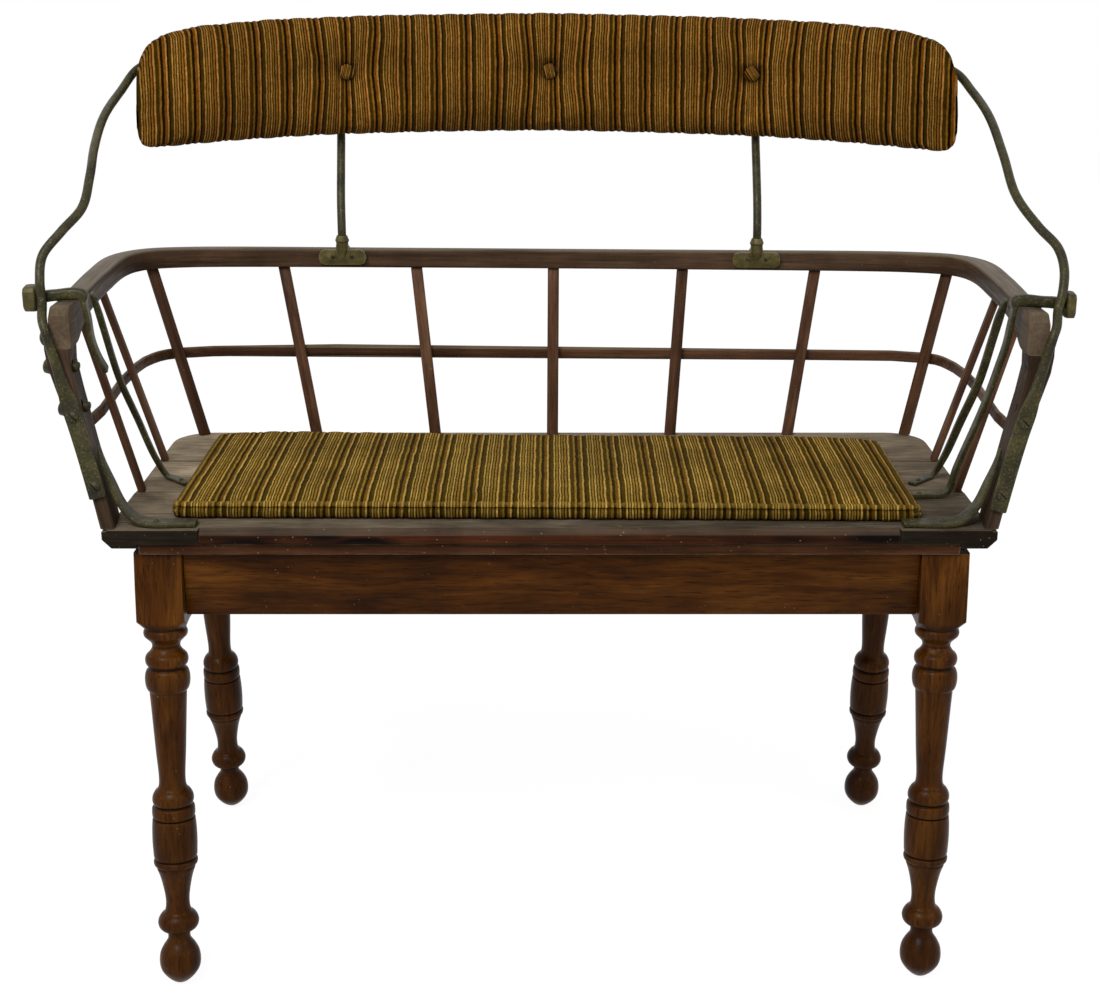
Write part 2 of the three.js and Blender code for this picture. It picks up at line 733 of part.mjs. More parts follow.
function tuftAt(along, rise) {
  const away = Math.min(...buttonPlaces.map((s) => Math.hypot(along - s, rise - buttonHeight)));
  const fade = THREE.MathUtils.clamp((away - buttonRadius) / (tuftRadius - buttonRadius), 0, 1);
  return tuftDepth * (1 + Math.cos(Math.PI * fade)) / 2;
}

function padFront(along, rise, across) {
  const end = Math.abs(backShare(along));
  const ease = Math.sqrt(Math.max(1 - across ** 2, 0)) * Math.sqrt(Math.max(1 - end ** 8, 0));
  return padThickness * (1 - between(padEdgeShare, 1, ease)) + tuftAt(along, rise);
}
const padAcrossShares = [-1, -0.94, -0.75, -0.45, -0.15, 0.15, 0.45, 0.75, 0.94, 1];

const buttonNormal = (along) => {
  const ahead = backPoint(along + buttonRadius, 0, 0);
  const above = backPoint(along, buttonRadius, 0);
  const here = backPoint(along, 0, 0);
  return ahead.sub(here).cross(above.sub(here)).normalize();
};
const buttonSeat = (along) => {
  const [top, bottom] = [backTop(backShare(along)), backBottom(backShare(along))];
  const across = (buttonHeight - (top + bottom) / 2) / ((top - bottom) / 2);
  return backPoint(along, buttonHeight, padFront(along, buttonHeight, across) + buttonSink);
};

// A turned piece set on a place, with its axis along a direction
function turned(profile, facets, place, direction) {
  const geometry = new THREE.LatheGeometry(profile.map(([r, h]) => new THREE.Vector2(r, h)), facets);
  const turn = new THREE.Quaternion().setFromUnitVectors(at(0, 1, 0), direction);
  geometry.applyQuaternion(turn);
  return geometry.translate(place.x, place.y, place.z);
}
const plug = (radius, low, high) => [[0, low], [radius, low], [radius, high], [0, high]];
const fastenerFacets = 12;

function addBackrest() {
  const boardFront = padThickness + restGap;
  const boardRings = backStations(40).map((share) => {
    const held = share * (1 - boardInset / backrestHalfLength);
    const [top, bottom] = [backTop(share) - boardInset, backBottom(share) + boardInset];
    const along = backAlong(held);
    return [[bottom, boardFront], [top, boardFront],
      [top, boardFront + boardThickness], [bottom, boardFront + boardThickness]]
      .map(([rise, depth]) => backPoint(along, rise, depth));
  });
  add('back_board', loft(boardRings), paleWood());

  const padRings = backStations(76).map((share) => {
    const along = backAlong(share);
    const [top, bottom] = [backTop(share), backBottom(share)];
    const riseAt = (across) => between(bottom, top, (1 + across) / 2);
    const front = padAcrossShares.map((across) =>
      backPoint(along, riseAt(across), padFront(along, riseAt(across), across)));
    const rear = [padAcrossShares.at(-2), padAcrossShares.at(1)].map((across) =>
      backPoint(along, riseAt(across), padThickness));
    return [...front, ...rear];
  });
  const pockets = buttonPlaces.map((s) => solid(turned(
    plug(buttonRadius + restGap, 0, padThickness), fastenerFacets, buttonSeat(s), buttonNormal(s))));
  const pad = pockets.reduce((body, pocket) => body.subtract(pocket), solid(loft(padRings)));
  add('back_pad', fromSolid(pad), stripedCloth());

  const domeShares = [[0, 0], [1, 0], [1, 0.3], [0.85, 0.65], [0.5, 0.92], [0, 1]];
  const dome = domeShares.map(([r, h]) => [r * buttonRadius, restGap + h * buttonThickness]);
  buttonPlaces.forEach((s, i) => {
    const button = turned(dome, fastenerFacets, buttonSeat(s), buttonNormal(s));
    add(`back_button_${['left', 'middle', 'right'][i]}`, button, stripedCloth());
  });
}

// Side irons: places between the post's head and the backrest's end, as shares of the climb
// outwards from a smooth way between them, of the way back and of the climb
const ironShares = {
  left: [
    [0.03, -0.019, 0.077], [0.045, -0.003, 0.118], [0.064, 0.055, 0.175], [0.07, 0.066, 0.259],
    [0.07, 0.11, 0.35], [0.011, 0.164, 0.435], [-0.04, 0.253, 0.513], [-0.029, 0.366, 0.62],
    [0.012, 0.509, 0.718], [0.048, 0.693, 0.823], [0.048, 0.9, 0.915],
  ],
  right: [
    [0.03, -0.019, 0.08], [0.047, -0.003, 0.118], [0.071, 0.055, 0.174], [0.087, 0.066, 0.233],
    [0.106, 0.11, 0.319], [0.1, 0.164, 0.392], [0.057, 0.253, 0.46], [0.013, 0.366, 0.563],
    [0.02, 0.509, 0.706], [0.042, 0.693, 0.837], [0.045, 0.9, 0.928],
  ],
};
const ironPostShares = [[0, 1], [0.3, 1], [0.5, 1], [0.64, 1], [0.76, 0.45], [0.88, 0.2]];
const ironEndShare = 0.56;
const ironTailShare = 0.44;
const boardRear = padThickness + restGap + boardThickness;

function rodPlaces(side, sign) {
  const rear = boardRear + restGap + rodDiameter / 2;
  const end = backAlong(sign) * sign - ironEndInset;
  const [endRise, tailRise] = [ironEndShare * backrestHeight, ironTailShare * backrestHeight];
  const behind = [
    backPoint(sign * end, endRise, rear),
    backPoint(sign * (end - ironTail / 2), (endRise + tailRise) / 2, rear),
    backPoint(sign * (end - ironTail), tailRise, rear),
  ];
  const head = postAt(sign, 1);
  const climb = behind[0].z - head.level;
  const from = sign * (head.out - head.width / 2);
  const free = ironShares[side].map(([outward, run, rise]) => {
    const way = between(from, behind[0].x, THREE.MathUtils.smoothstep(run, 0, 1));
    return at(way + sign * outward * climb, between(head.front, behind[0].y, run),
      head.level + rise * climb);
  });
  return [...free, ...behind];
}

function addSideIrons() {
  const round = [rodDiameter, rodDiameter, 0];
  for (const [side, sign] of sides) {
    const foot = ironFootRise[side] / (postHeadAt(sign) - seatTop);
    const onPost = ironPostShares.map(([share, strap]) => {
      const { out, width, front, level } = postAt(sign, between(foot, 1, share));
      const thickness = between(rodDiameter, strapThickness, strap);
      const place = at(sign * (out - width / 2), front - restGap - thickness / 2, level);
      return [place, between(rodDiameter, strapWidth, strap), thickness, strap];
    });
    const rows = [...onPost, ...rodPlaces(side, sign).map((place) => [place, ...round])];
    add(`side_iron_${side}`, forged(rows, at(1, 0, 0), true), paintedIron());
  }
}

// Bracket irons: a bolt and bar across the arm that turns down inside it as a strap. The bolt
// reaches past the rod, whose fourth place lies beside the nut's top
const rodBesideNut = 3;

function bracketRows(side, sign) {
  const nutFace = Math.abs(rodPlaces(side, sign)[rodBesideNut].x) + nuts[side].standoff;
  const { underside, height, thickness } = railAtY(bracketSetback, sign);
  const outer = Math.abs(underside.x) + thickness / 2;
  const inner = Math.abs(underside.x) - thickness / 2 - bracketGap;
  const over = underside.z + height + restGap + bracketThickness / 2;
  const bolt = [boltDiameter, boltDiameter, 0];
  const bar = [bracketWidth, bracketThickness, barSquareShare];
  const strap = [bracketWidth, bracketStrapThickness, 1];
  const inside = inner - bracketStrapThickness / 2;
  const y = bracketSetback;
  return {
    boltLevel: over - nutDrop,
    nutFace,
    rows: [
      [at(sign * (nutFace + boltReach), y, over - nutDrop), ...bolt],
      [at(sign * nutFace, y, over - nutDrop), ...bolt],
      [at(sign * (nutFace - bracketThickness / 2), y, over - nutDrop / 2), ...bar],
      [at(sign * outer, y, over), ...bar],
      [at(sign * inner, y, over), ...bar],
      [at(sign * inside, y, underside.z + height - railChamfer), ...strap],
      [at(sign * (inside - bracketSplay), y, underside.z + height / 2), ...strap],
      [at(sign * inside, y + bracketSplay, underside.z), ...strap],
    ],
    strap,
    inside,
    below: underside.z,
  };
}
// Below the arm it runs on in shares of the way in to its toe, of the seat's depth and of the drop
const bracketTailShares = {
  left: [[0.051, 0.02, 0.1], [0.14, 0.04, 0.19]],
  right: [[0.07, 0.03, 0.118], [0.208, 0.053, 0.4], [0.443, 0.097, 0.82]],
};
const nutShares = [[0, 0.86], [0.12, 1], [0.88, 1], [1, 0.86]];
const nutSquareShare = 0.7;
const barSquareShare = 0.6;
const bracketFootShares = { right: [[0.506, 0.113, 0.97], [0.633, 0.113, 1], [1, 0.11, 1]] };

function addBracketIrons() {
  for (const [side, sign] of sides) {
    const { rows, strap, inside, below, boltLevel, nutFace } = bracketRows(side, sign);
    const { thickness } = nuts[side];
    const rest = postFoot + bracketStrapThickness / 2;
    const toe = seatHalf - bracketToeInset;
    const shares = [...bracketTailShares[side], ...(bracketFootShares[side] ?? [])];
    const tail = shares.map(([inward, back, down]) => [at(sign * between(inside, toe, inward),
      bracketSetback + back * seatDepth, between(below, rest, down)), ...strap]);
    add(`bracket_iron_${side}`, forged([...rows, ...tail], at(0, 1, 0), false), paintedIron());

    const nutRings = nutShares.map(([share, size]) =>
      ring(softSection(nutSize * size, nutSize * size, nutSquareShare),
        at(sign * (nutFace + share * thickness), bracketSetback, boltLevel),
        at(0, 1, 0), at(0, 0, 1)));
    const hole = turned(plug(boltDiameter / 2 + restGap, -thickness, boltReach + restGap),
      fastenerFacets, at(sign * nutFace, bracketSetback, boltLevel), at(sign, 0, 0));
    add(`bracket_nut_${side}`, fromSolid(solid(loft(nutRings)).subtract(solid(hole))),
      paintedIron());
  }
}

// Thin braces from inside the arms down to the seat, as shares of the way in, back and down
const braceShares = [
  [0.07, 0.08, 0.09], [0.14, 0.18, 0.2], [0.3, 0.42, 0.45], [0.55, 0.64, 0.67], [0.8, 0.86, 0.89],
];

function addSeatBraces() {
  const flat = [braceEndWidth, braceEndThickness, 1];
  const rest = postFoot + braceEndThickness / 2 + restGap;
  for (const [side, sign] of sides) {
    const { underside, height, thickness } = railAtY(braceSetback, sign);
    const inside = Math.abs(underside.x) - thickness / 2 - armGap - braceWidths[side] / 2;
    const top = at(sign * inside, braceSetback, underside.z + height - railChamfer);
    const foot = at(sign * (seatHalf - braceFootInset), braceFootSetback, rest);
    const toe = at(foot.x - sign * braceToe, foot.y - braceToe, rest);
    const free = braceShares.map(([inward, back, down]) => [at(between(top.x, foot.x, inward),
      between(top.y, foot.y, back), between(top.z, foot.z, down)), braceDepth, braceWidths[side], 0]);
    const rows = [[top, ...flat], ...free, [foot, ...flat], [toe, ...flat]];
    add(`seat_brace_${side}`, forged(rows, at(0, 1, 0), false), paintedIron());
  }
}

// Corner irons: flat bars down the inside of the posts and inwards over the seat, in shares of the
// way in from the post and of the drop
const cornerIronShares = [[0.048, 0.33], [0.174, 0.74], [0.494, 0.95]];
const cornerIronTaperShares = [0.45, 0.58, 0.75, 0.9, 1, 1, 0.85];
const cornerIronTopShare = 0.455;
const cornerIronBendShare = 0.36;

function addCornerIrons() {
  const rest = postFoot + cornerIronThickness / 2;
  for (const [side, sign] of sides) {
    const besidePost = (share) => {
      const { out, width, front, level } = postAt(sign, share);
      const x = out - width - armGap - cornerIronThickness / 2;
      return at(sign * x, front + cornerIronWidth / 2, level);
    };
    const [top, bend] = [cornerIronTopShare, cornerIronBendShare].map(besidePost);
    const toe = at(sign * (seatHalf - cornerIronReach), cornerIronSetback, rest);
    const heel = at(sign * (seatHalf - cornerIronReach / 2), cornerIronSetback, rest);
    const free = cornerIronShares.map(([inward, down]) => {
      const level = between(bend.z, heel.z, down);
      const post = besidePost((level - postFoot) / (postHeadAt(sign) - postFoot));
      return at(between(post.x, heel.x, inward), between(bend.y, heel.y, inward), level);
    });
    const rows = [top, bend, ...free, heel, toe].map((place, i) =>
      [place, cornerIronWidth * cornerIronTaperShares[i], cornerIronThickness, 1]);
    add(`corner_iron_${side}`, forged(rows, at(0, 1, 0), false), paintedIron());
  }
}

// Clips on the back of the rail's front face: a rounded plate with a boss that ends in a collar
const bossShares = [[0, -0.9], [0.35, -0.8], [0.95, -0.1]];
const collarShares = [[1, 0.05], [0.92, 0.5], [1.08, 0.65], [0.8, 1], [0, 1]];
const clipCornerShare = 0.4;

function clipOutline() {
  const corner = clipHeight * clipCornerShare;
  const [u, v] = [clipWidth / 2 - corner, clipHeight / 2 - corner];
  const corners = [[u, v, 0], [-u, v, 1], [-u, -v, 2], [u, -v, 3]];
  return corners.flatMap(([x, z, quarter]) => [0, 0.5, 1].map((step) => {
    const angle = (quarter + step) * (Math.PI / 2);
    return [x + corner * Math.cos(angle), z + corner * Math.sin(angle)];
  }));
}

function addPropClips() {
  const face = railBackSetback - railThickness / 2 - restGap;
  const radius = collarDiameter / 2;
  const up = at(0, 0, 1);
  for (const [side, sign] of sides) {
    const x = sign * propFootHalfSpacing;
    const top = railTopAt(x) + restGap;
    const plate = slab(clipOutline(), 0, clipThickness).rotateX(Math.PI / 2);
    plate.translate(x, face, top - clipHeight / 2);
    const profile = [...bossShares.map(([r, h]) => [r * radius, h * clipHeight]),
      ...collarShares.map(([r, h]) => [r * radius, h * collarHeight])];
    const boss = turned(profile, fastenerFacets, at(x, propSetback, top), up);
    const lip = box([x - radius, x + radius],
      [face - clipThickness, propSetback + radius], [top - clipFloor, top + clipFloor]);
    const rail = box([x - clipWidth, x + clipWidth], [face, railBackSetback + clipWidth],
      [top - noseHeight, top]);
    const pocket = turned(plug(propDiameter / 2 + restGap, clipFloor, collarHeight + clipFloor),
      fastenerFacets, at(x, propSetback, top), up);
    const clip = solid(plate).add(solid(boss)).add(solid(lip))
      .subtract(solid(rail)).subtract(solid(pocket));
    add(`prop_clip_${side}`, fromSolid(clip), castBrass());
  }
}

// Centre props: straight rods from the clips that lean back and run up behind the board
const propNeckShare = 1.35;
const propLeanShares = [[0.3, 0.2], [0.65, 0.6]];

function addProps() {
  const rear = boardRear + restGap + propDiameter / 2;
  for (const [side, sign] of sides) {
    const x = sign * propFootHalfSpacing;
    const floor = railTopAt(x) + restGap + clipFloor + restGap;
    const foot = at(x, propSetback, floor);
    const neck = at(x, propSetback, floor + collarHeight * propNeckShare);
    const collar = at(x, propSetback, floor + collarHeight / 2);
    const reach = sign * propHeadSpacing[side];
    const low = backPoint(reach, 0, rear);
    const high = backPoint(reach, propTail, rear);
    const lean = propLeanShares.map(([rise, run]) =>
      at(between(neck.x, low.x, rise), between(neck.y, low.y, run), between(neck.z, low.z, rise)));
    const rows = [foot, collar, neck, ...lean, low, high];
    add(`back_prop_${side}`, forged(rows.map((place) => [place, propDiameter, propDiameter, 0]),
      at(1, 0, 0), true), paintedIron());
  }
}

// Loose seat pad: rings from its left to its right end, crowned, drawn in at the front and bowed
// out at the rear
const padStationShares = [
  0, 0.004, 0.012, 0.03, 0.06, 0.12, 0.2, 0.3, 0.4, 0.5, 0.6, 0.7, 0.8, 0.88, 0.94, 0.97, 0.988,
  0.996, 1,
];
const padRowShares = [0, 0.012, 0.035, 0.09, 0.2, 0.35, 0.5, 0.65, 0.8, 0.91, 0.965, 0.988, 1];

const seatPadCorners = {
  frontLeft: [seatPadInsets.frontLeft.end - seatHalf, seatPadInsets.frontLeft.edge],
  frontRight: [seatHalf - seatPadInsets.frontRight.end, seatPadInsets.frontRight.edge],
  rearLeft: [seatPadInsets.rearLeft.end - seatHalf, seatDepth - seatPadInsets.rearLeft.edge],
  rearRight: [seatHalf - seatPadInsets.rearRight.end, seatDepth - seatPadInsets.rearRight.edge],
};

function seatPadPoint(across, back, level) {
  const { frontLeft, frontRight, rearLeft, rearRight } = seatPadCorners;
  const [front, rear] = [[frontLeft, frontRight], [rearLeft, rearRight]]
    .map(([left, right]) => left.map((value, i) => between(value, right[i], across)));
  const draw = seatPadDrawIn * Math.sin(Math.PI * across);
  const [length, depth] = [frontRight[0] - frontLeft[0], rear[1] - front[1]];
  const fromEnd = Math.min(Math.min(across, 1 - across) * length / seatPadCornerRadius, 1);
  const corner = seatPadCornerRadius * (1 - Math.sqrt(1 - (1 - fromEnd) ** 2));
  const bow = seatPadRearBow * Math.sqrt(Math.sin(Math.PI * across));
  const kept = between((draw + corner) / depth, 1 + (bow - corner) / depth, back);
  const place = front.map((value, i) => between(value, rear[i], kept));
  return at(place[0], place[1], level);
}

function addSeatPad() {
  const bottom = seatTop + restGap;
  const lift = (share) => Math.sqrt(1 - (1 - Math.min(share, 1)) ** 2);
  const rings = padStationShares.map((across) => {
    const end = lift(Math.min(across, 1 - across) / padStationShares[4]);
    const top = padRowShares.map((back) => {
      const side = lift(Math.min(back, 1 - back) / padRowShares[3]);
      const crown = seatPadCrown * Math.sin(Math.PI * back) * Math.sin(Math.PI * across);
      const height = between(seatPadEdge, seatPadThickness, end * side) + crown;
      return seatPadPoint(across, back, bottom + height);
    });
    const under = [padRowShares.at(-2), padRowShares.at(1)].map((back) =>
      seatPadPoint(across, back, bottom));
    return [...top, ...under];
  });
  add('seat_pad', loft(rings), stripedCloth());
}

// Fasteners: a head on a shank, whose hole is cut with clearance in each piece that it passes
const headShares = [[1, 0], [1, 0.4], [0.75, 0.85], [0, 1]];

function fasten(name, place, direction, sizes, pieces) {
  const { headRadius, headHeight, shankRadius, shank } = sizes;
  const head = headShares.map(([r, h]) => [r * headRadius, restGap + h * headHeight]);
  const profile = [[0, -shank], [shankRadius, -shank], [shankRadius, restGap], ...head];
  add(name, turned(profile, fastenerFacets, place, direction), paintedIron());
  const hole = solid(turned(plug(shankRadius + restGap, -shank - restGap, headHeight),
    fastenerFacets, place, direction));
  for (const piece of pieces) {
    const mesh = bench.getObjectByName(piece);
    mesh.geometry = fromSolid(solid(mesh.geometry).subtract(hole));
  }
}

const strapScrewShares = { left: [0.63, 0.24], right: [0.62, 0.2] };
const boltShares = [0.88, 0.65];
const boltDepthShare = 0.3;
const boltStepShare = 0.1;

function addFasteners() {
  const screw = { headRadius: screwHeadRadius, headHeight: screwHeadHeight,
    shankRadius: screwShankRadius, shank: screwLength };
  const bolt = { headRadius: boltHeadRadius, headHeight: boltHeadHeight,
    shankRadius: boltDiameter / 2 };
  const pin = { headRadius: boltDiameter / 2, headHeight: restGap, shankRadius: boltDiameter / 2 };
  for (const [side, sign] of sides) {
    strapScrewShares[side].forEach((share, i) => {
      const [here, above] = [postAt(sign, share), postAt(sign, share + boltStepShare)];
      const outward = at(0, here.level - above.level, above.front - here.front).normalize();
      const place = at(sign * (here.out - here.width / 2), here.front - restGap, here.level);
      place.addScaledVector(outward, strapThickness);
      fasten(`strap_screw_${side}_${['upper', 'lower'][i]}`, place, outward, screw,
        [`side_iron_${side}`, `post_${side}`]);
    });
    boltShares.forEach((share, i) => {
      const [here, above] = [postAt(sign, share), postAt(sign, share + boltStepShare)];
      const rise = at(sign * (above.out - here.out), above.front - here.front,
        above.level - here.level);
      const outward = at(sign * postFlare, 1, 0).cross(rise).normalize().multiplyScalar(sign);
      const place = at(sign * here.out, here.front, here.level);
      const depth = postDepth * boltDepthShare;
      place.add(at(sign * (restGap + postFlare * depth), depth, 0));
      const shape = sign < 0 ? bolt : pin;
      fasten(`post_bolt_${side}_${['upper', 'lower'][i]}`, place, outward,
        { ...shape, shank: here.width + boltTip }, [`post_${side}`]);
    });
  }
  const head = postAt(-1, 1);
  fasten('post_bolt_left_top', at(-head.out, head.front + postDepth * boltDepthShare,
    head.level + postTongueRise / 2), at(-1, 0, 0),
  { ...bolt, shank: postTongueThickness + railThickness / 2 }, ['post_left', 'top_rail']);
}

addLegs();
addAprons();
addSeatBearers();
addSeatBoards();
addTopRail();
addSpindles();
addPosts();
addMidRail();
addBackrest();
addSideIrons();
addBracketIrons();
addSeatBraces();
addCornerIrons();
addPropClips();
addProps();
addSeatPad();
addFasteners();

// The origin is the middle of the whole piece, on the floor
const bounds = new THREE.Box3().setFromObject(bench);
const middle = bounds.getCenter(at(0, 0, 0));
bench.position.set(-middle.x, -middle.y, -bounds.min.z);

export default bench;
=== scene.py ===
import math

import bmesh
import bpy
import numpy as np
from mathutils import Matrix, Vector


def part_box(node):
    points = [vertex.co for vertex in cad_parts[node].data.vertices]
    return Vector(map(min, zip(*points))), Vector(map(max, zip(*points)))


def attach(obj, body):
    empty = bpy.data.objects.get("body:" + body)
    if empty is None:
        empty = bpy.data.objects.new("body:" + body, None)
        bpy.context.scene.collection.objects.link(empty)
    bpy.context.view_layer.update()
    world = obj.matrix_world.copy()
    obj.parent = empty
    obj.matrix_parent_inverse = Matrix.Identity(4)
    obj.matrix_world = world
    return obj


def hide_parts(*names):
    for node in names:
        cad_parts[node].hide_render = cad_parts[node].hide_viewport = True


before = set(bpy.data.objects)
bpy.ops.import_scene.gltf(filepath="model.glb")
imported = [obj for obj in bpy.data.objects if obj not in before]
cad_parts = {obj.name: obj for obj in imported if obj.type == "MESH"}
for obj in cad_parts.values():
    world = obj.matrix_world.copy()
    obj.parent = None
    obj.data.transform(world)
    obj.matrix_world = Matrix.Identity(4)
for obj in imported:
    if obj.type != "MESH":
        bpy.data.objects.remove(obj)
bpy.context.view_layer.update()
scene = bpy.context.scene
scene.view_settings.view_transform = "Standard"

# Camera: it stands in front of the bench, a little over a metre up, and looks down at it by
# 17 degrees, as the photograph does. Its picture is 1100 units wide.
picture_width = 1100
focal_length = 1750
looks_down = 17.42
bench_middle = -0.00022
camera_data = bpy.data.cameras.new("camera")
camera_data.sensor_width = 36
camera_data.lens = camera_data.sensor_width * focal_length / picture_width
camera_data.shift_x = 0.5 / picture_width
camera = bpy.data.objects.new("camera", camera_data)
camera.location = (bench_middle, -1.83393, 1.0379)
camera.rotation_euler = (math.radians(90 - looks_down), 0, 0)
scene.collection.objects.link(camera)
scene.camera = camera


# Turned legs: each is one length of walnut-stained wood, square at the top and turned below into
# a long barrel, beads and a ball foot, then varnished. They rake a few degrees to front and back.
leg_height = 0.4657
leg_pivot = 0.440
block_half = 0.024
block_bottom = 0.390
block_crispness = 22
corner_reach = [(0.002, 0.030), (0.004, 0.035), (0.02, 0.036), (0.04, 0.036), (0.09, 0.036)]
shoulder = 0.383
barrel_radius = 0.0228
widest_turning = 0.023
groove_half = 0.0035
groove_depth = 0.0011
# Painted shade on the lower legs, strongest at the foot.
foot_shade = 0.24
# Heights and radii in thousandths of the shoulder's height and the barrel's radius.
leg_turning = [
    (0, 140), (8, 380), (25, 680), (44, 875), (66, 930), (90, 875), (108, 730), (128, 520),
    (142, 500), (150, 520), (155, 700), (164, 860), (178, 920), (190, 870), (200, 760),
    (209, 600), (240, 530), (297, 675), (320, 780), (335, 860), (340, 840), (344, 950),
    (353, 985), (359, 950), (362, 890), (366, 955), (385, 985), (415, 1000), (450, 985),
    (468, 960), (473.5, 945), (476.5, 870), (479.5, 930), (487, 955), (499, 955), (507, 930),
    (511, 830), (515.5, 870), (525, 920), (538, 900), (550, 800), (560, 650), (576, 590),
    (672, 675), (822, 815), (829, 825), (834, 900), (845, 965), (862, 990), (877, 965),
    (887, 900), (892, 810), (897, 830), (904, 910), (916, 945), (927, 890), (937, 730),
    (949, 615), (961, 650), (971, 800), (980, 940), (990, 965), (1000, 900),
]
leg_places = {
    "leg_front_left": (-0.38622, -0.19012, -5.9), "leg_front_right": (0.38978, -0.19012, -4.3),
    "leg_rear_left": (-0.40122, 0.11888, 5.5), "leg_rear_right": (0.39278, 0.11888, 5.5),
}


def between(a, b, t, low, high):
    """From a to b as t goes from low to high."""
    return (high - t) / (high - low) * a + (t - low) / (high - low) * b


def smooth_rows(rows, steps, measured):
    """Rows on a smooth curve through the given rows, spaced by their first measured columns."""
    rows = np.array(rows, float)
    rows = np.vstack([2 * rows[0] - rows[1], rows, 2 * rows[-1] - rows[-2]])
    made = []
    for p0, p1, p2, p3 in zip(rows, rows[1:], rows[2:], rows[3:]):
        gaps = [max(np.linalg.norm((b - a)[:measured]), 1e-9) ** 0.5
                for a, b in ((p0, p1), (p1, p2), (p2, p3))]
        t1, t2, t3 = np.cumsum(gaps)
        t = np.linspace(t1, t2, steps, endpoint=False)[:, None]
        a1, a2, a3 = between(p0, p1, t, 0, t1), between(p1, p2, t, t1, t2), between(p2, p3, t, t2, t3)
        b1, b2 = between(a1, a2, t, 0, t2), between(a2, a3, t, t1, t3)
        made.append(between(b1, b2, t, t1, t2))
    return np.vstack(made + [rows[-2:-1]])


def is_output(value):
    return isinstance(value, bpy.types.NodeSocket)


def feed(taker, key, value):
    """Links an output to one of a shader node's inputs."""
    value.id_data.links.new(value, taker.inputs[key])


def node(kind, inputs=(), output=0, tree=None, **settings):
    """Adds a shader node to a tree, or to that of the outputs linked to it. It sets or links its
    inputs and gives back one of its own outputs."""
    inputs = dict(inputs)
    tree = tree or next(value.id_data for value in inputs.values() if is_output(value))
    made = tree.nodes.new("ShaderNode" + kind)
    for key, value in settings.items():
        setattr(made, key, value)
    for key, value in inputs.items():
        if is_output(value):
            feed(made, key, value)
        else:
            made.inputs[key].default_value = value
    return made.outputs[output]


def finish(name, roughness, metallic, gloss):
    made = bpy.data.materials.new(name)
    made.use_nodes = True
    shader = made.node_tree.nodes["Principled BSDF"]
    shader.inputs["Roughness"].default_value = roughness
    shader.inputs["Metallic"].default_value = metallic
    shader.inputs["Specular IOR Level"].default_value = gloss
    return made, made.node_tree, shader


def point_value(tree, name, part=2):
    """What each point of a piece was given: a number, or a set of three where part is 1."""
    return node("Attribute", output=part, tree=tree, attribute_name=name)


def one_part(values, which):
    return node("SeparateXYZ", {0: values}, which)


def maths(operation, a, b=0.0):
    return node("Math", {0: a, 1: b}, operation=operation)


def times(product, *others):
    for value in others:
        product = maths("MULTIPLY", product, value)
    return product


def faded(value, low, high, to_low=0.0, to_high=1.0):
    """Takes a value from low..high to to_low..to_high and holds it there."""
    return node("MapRange", {"Value": value, "From Min": low, "From Max": high,
                             "To Min": to_low, "To Max": to_high})


def blended(factor, a, b, blend="MIX"):
    a, b = [colour if is_output(colour) else (*colour, 1) for colour in (a, b)]
    return node("Mix", {0: factor, 6: a, 7: b}, 2, data_type="RGBA", blend_type=blend)


def toned(colour, tone):
    """A colour made lighter or darker by a number."""
    grey = node("CombineXYZ", {0: tone, 1: tone, 2: tone})
    return blended(1.0, colour, grey, "MULTIPLY")


def ramp(value, stops, interpolation="LINEAR"):
    made = value.id_data.nodes.new("ShaderNodeValToRGB")
    made.color_ramp.interpolation = interpolation
    keys = made.color_ramp.elements
    while len(keys) < len(stops):
        keys.new(1.0)
    for key, (place, colour) in zip(keys, stops):
        key.position = place
        key.color = (*colour, 1)
    feed(made, 0, value)
    return made.outputs[0]


def stretched(place, scale):
    return node("Mapping", {"Vector": place, "Scale": scale})


def noise(place, scale, detail=3.0, roughness=0.5, distortion=0.0):
    """Soft clouds at one scale, or stretched, with a scale for each direction."""
    if isinstance(scale, tuple):
        place, scale = stretched(place, scale), 1
    return node("TexNoise", {"Vector": place, "Scale": scale, "Detail": detail,
                             "Roughness": roughness, "Distortion": distortion})


def bumped(height, strength, distance):
    return node("Bump", {"Height": height, "Strength": strength, "Distance": distance})


def edge_wear(tree, radius, low, high):
    """0 on flats and 1 on outer and inner edges, from how far a rounded normal leaves the face."""
    soft = node("Bevel", {"Radius": radius}, tree=tree, samples=6)
    hard = node("NewGeometry", output=1, tree=tree)
    same = node("VectorMath", {0: soft, 1: hard}, output=1, operation="DOT_PRODUCT")
    return faded(same, high, low)


def flecks(place, scale, turn, size):
    """Small marks strewn over a surface, long or short as the scale says."""
    turned = node("Mapping", {"Vector": place, "Rotation": turn})
    near = node("TexVoronoi", {"Vector": stretched(turned, scale), "Scale": 1.0})
    return faded(near, size * 0.5, size, 1, 0)


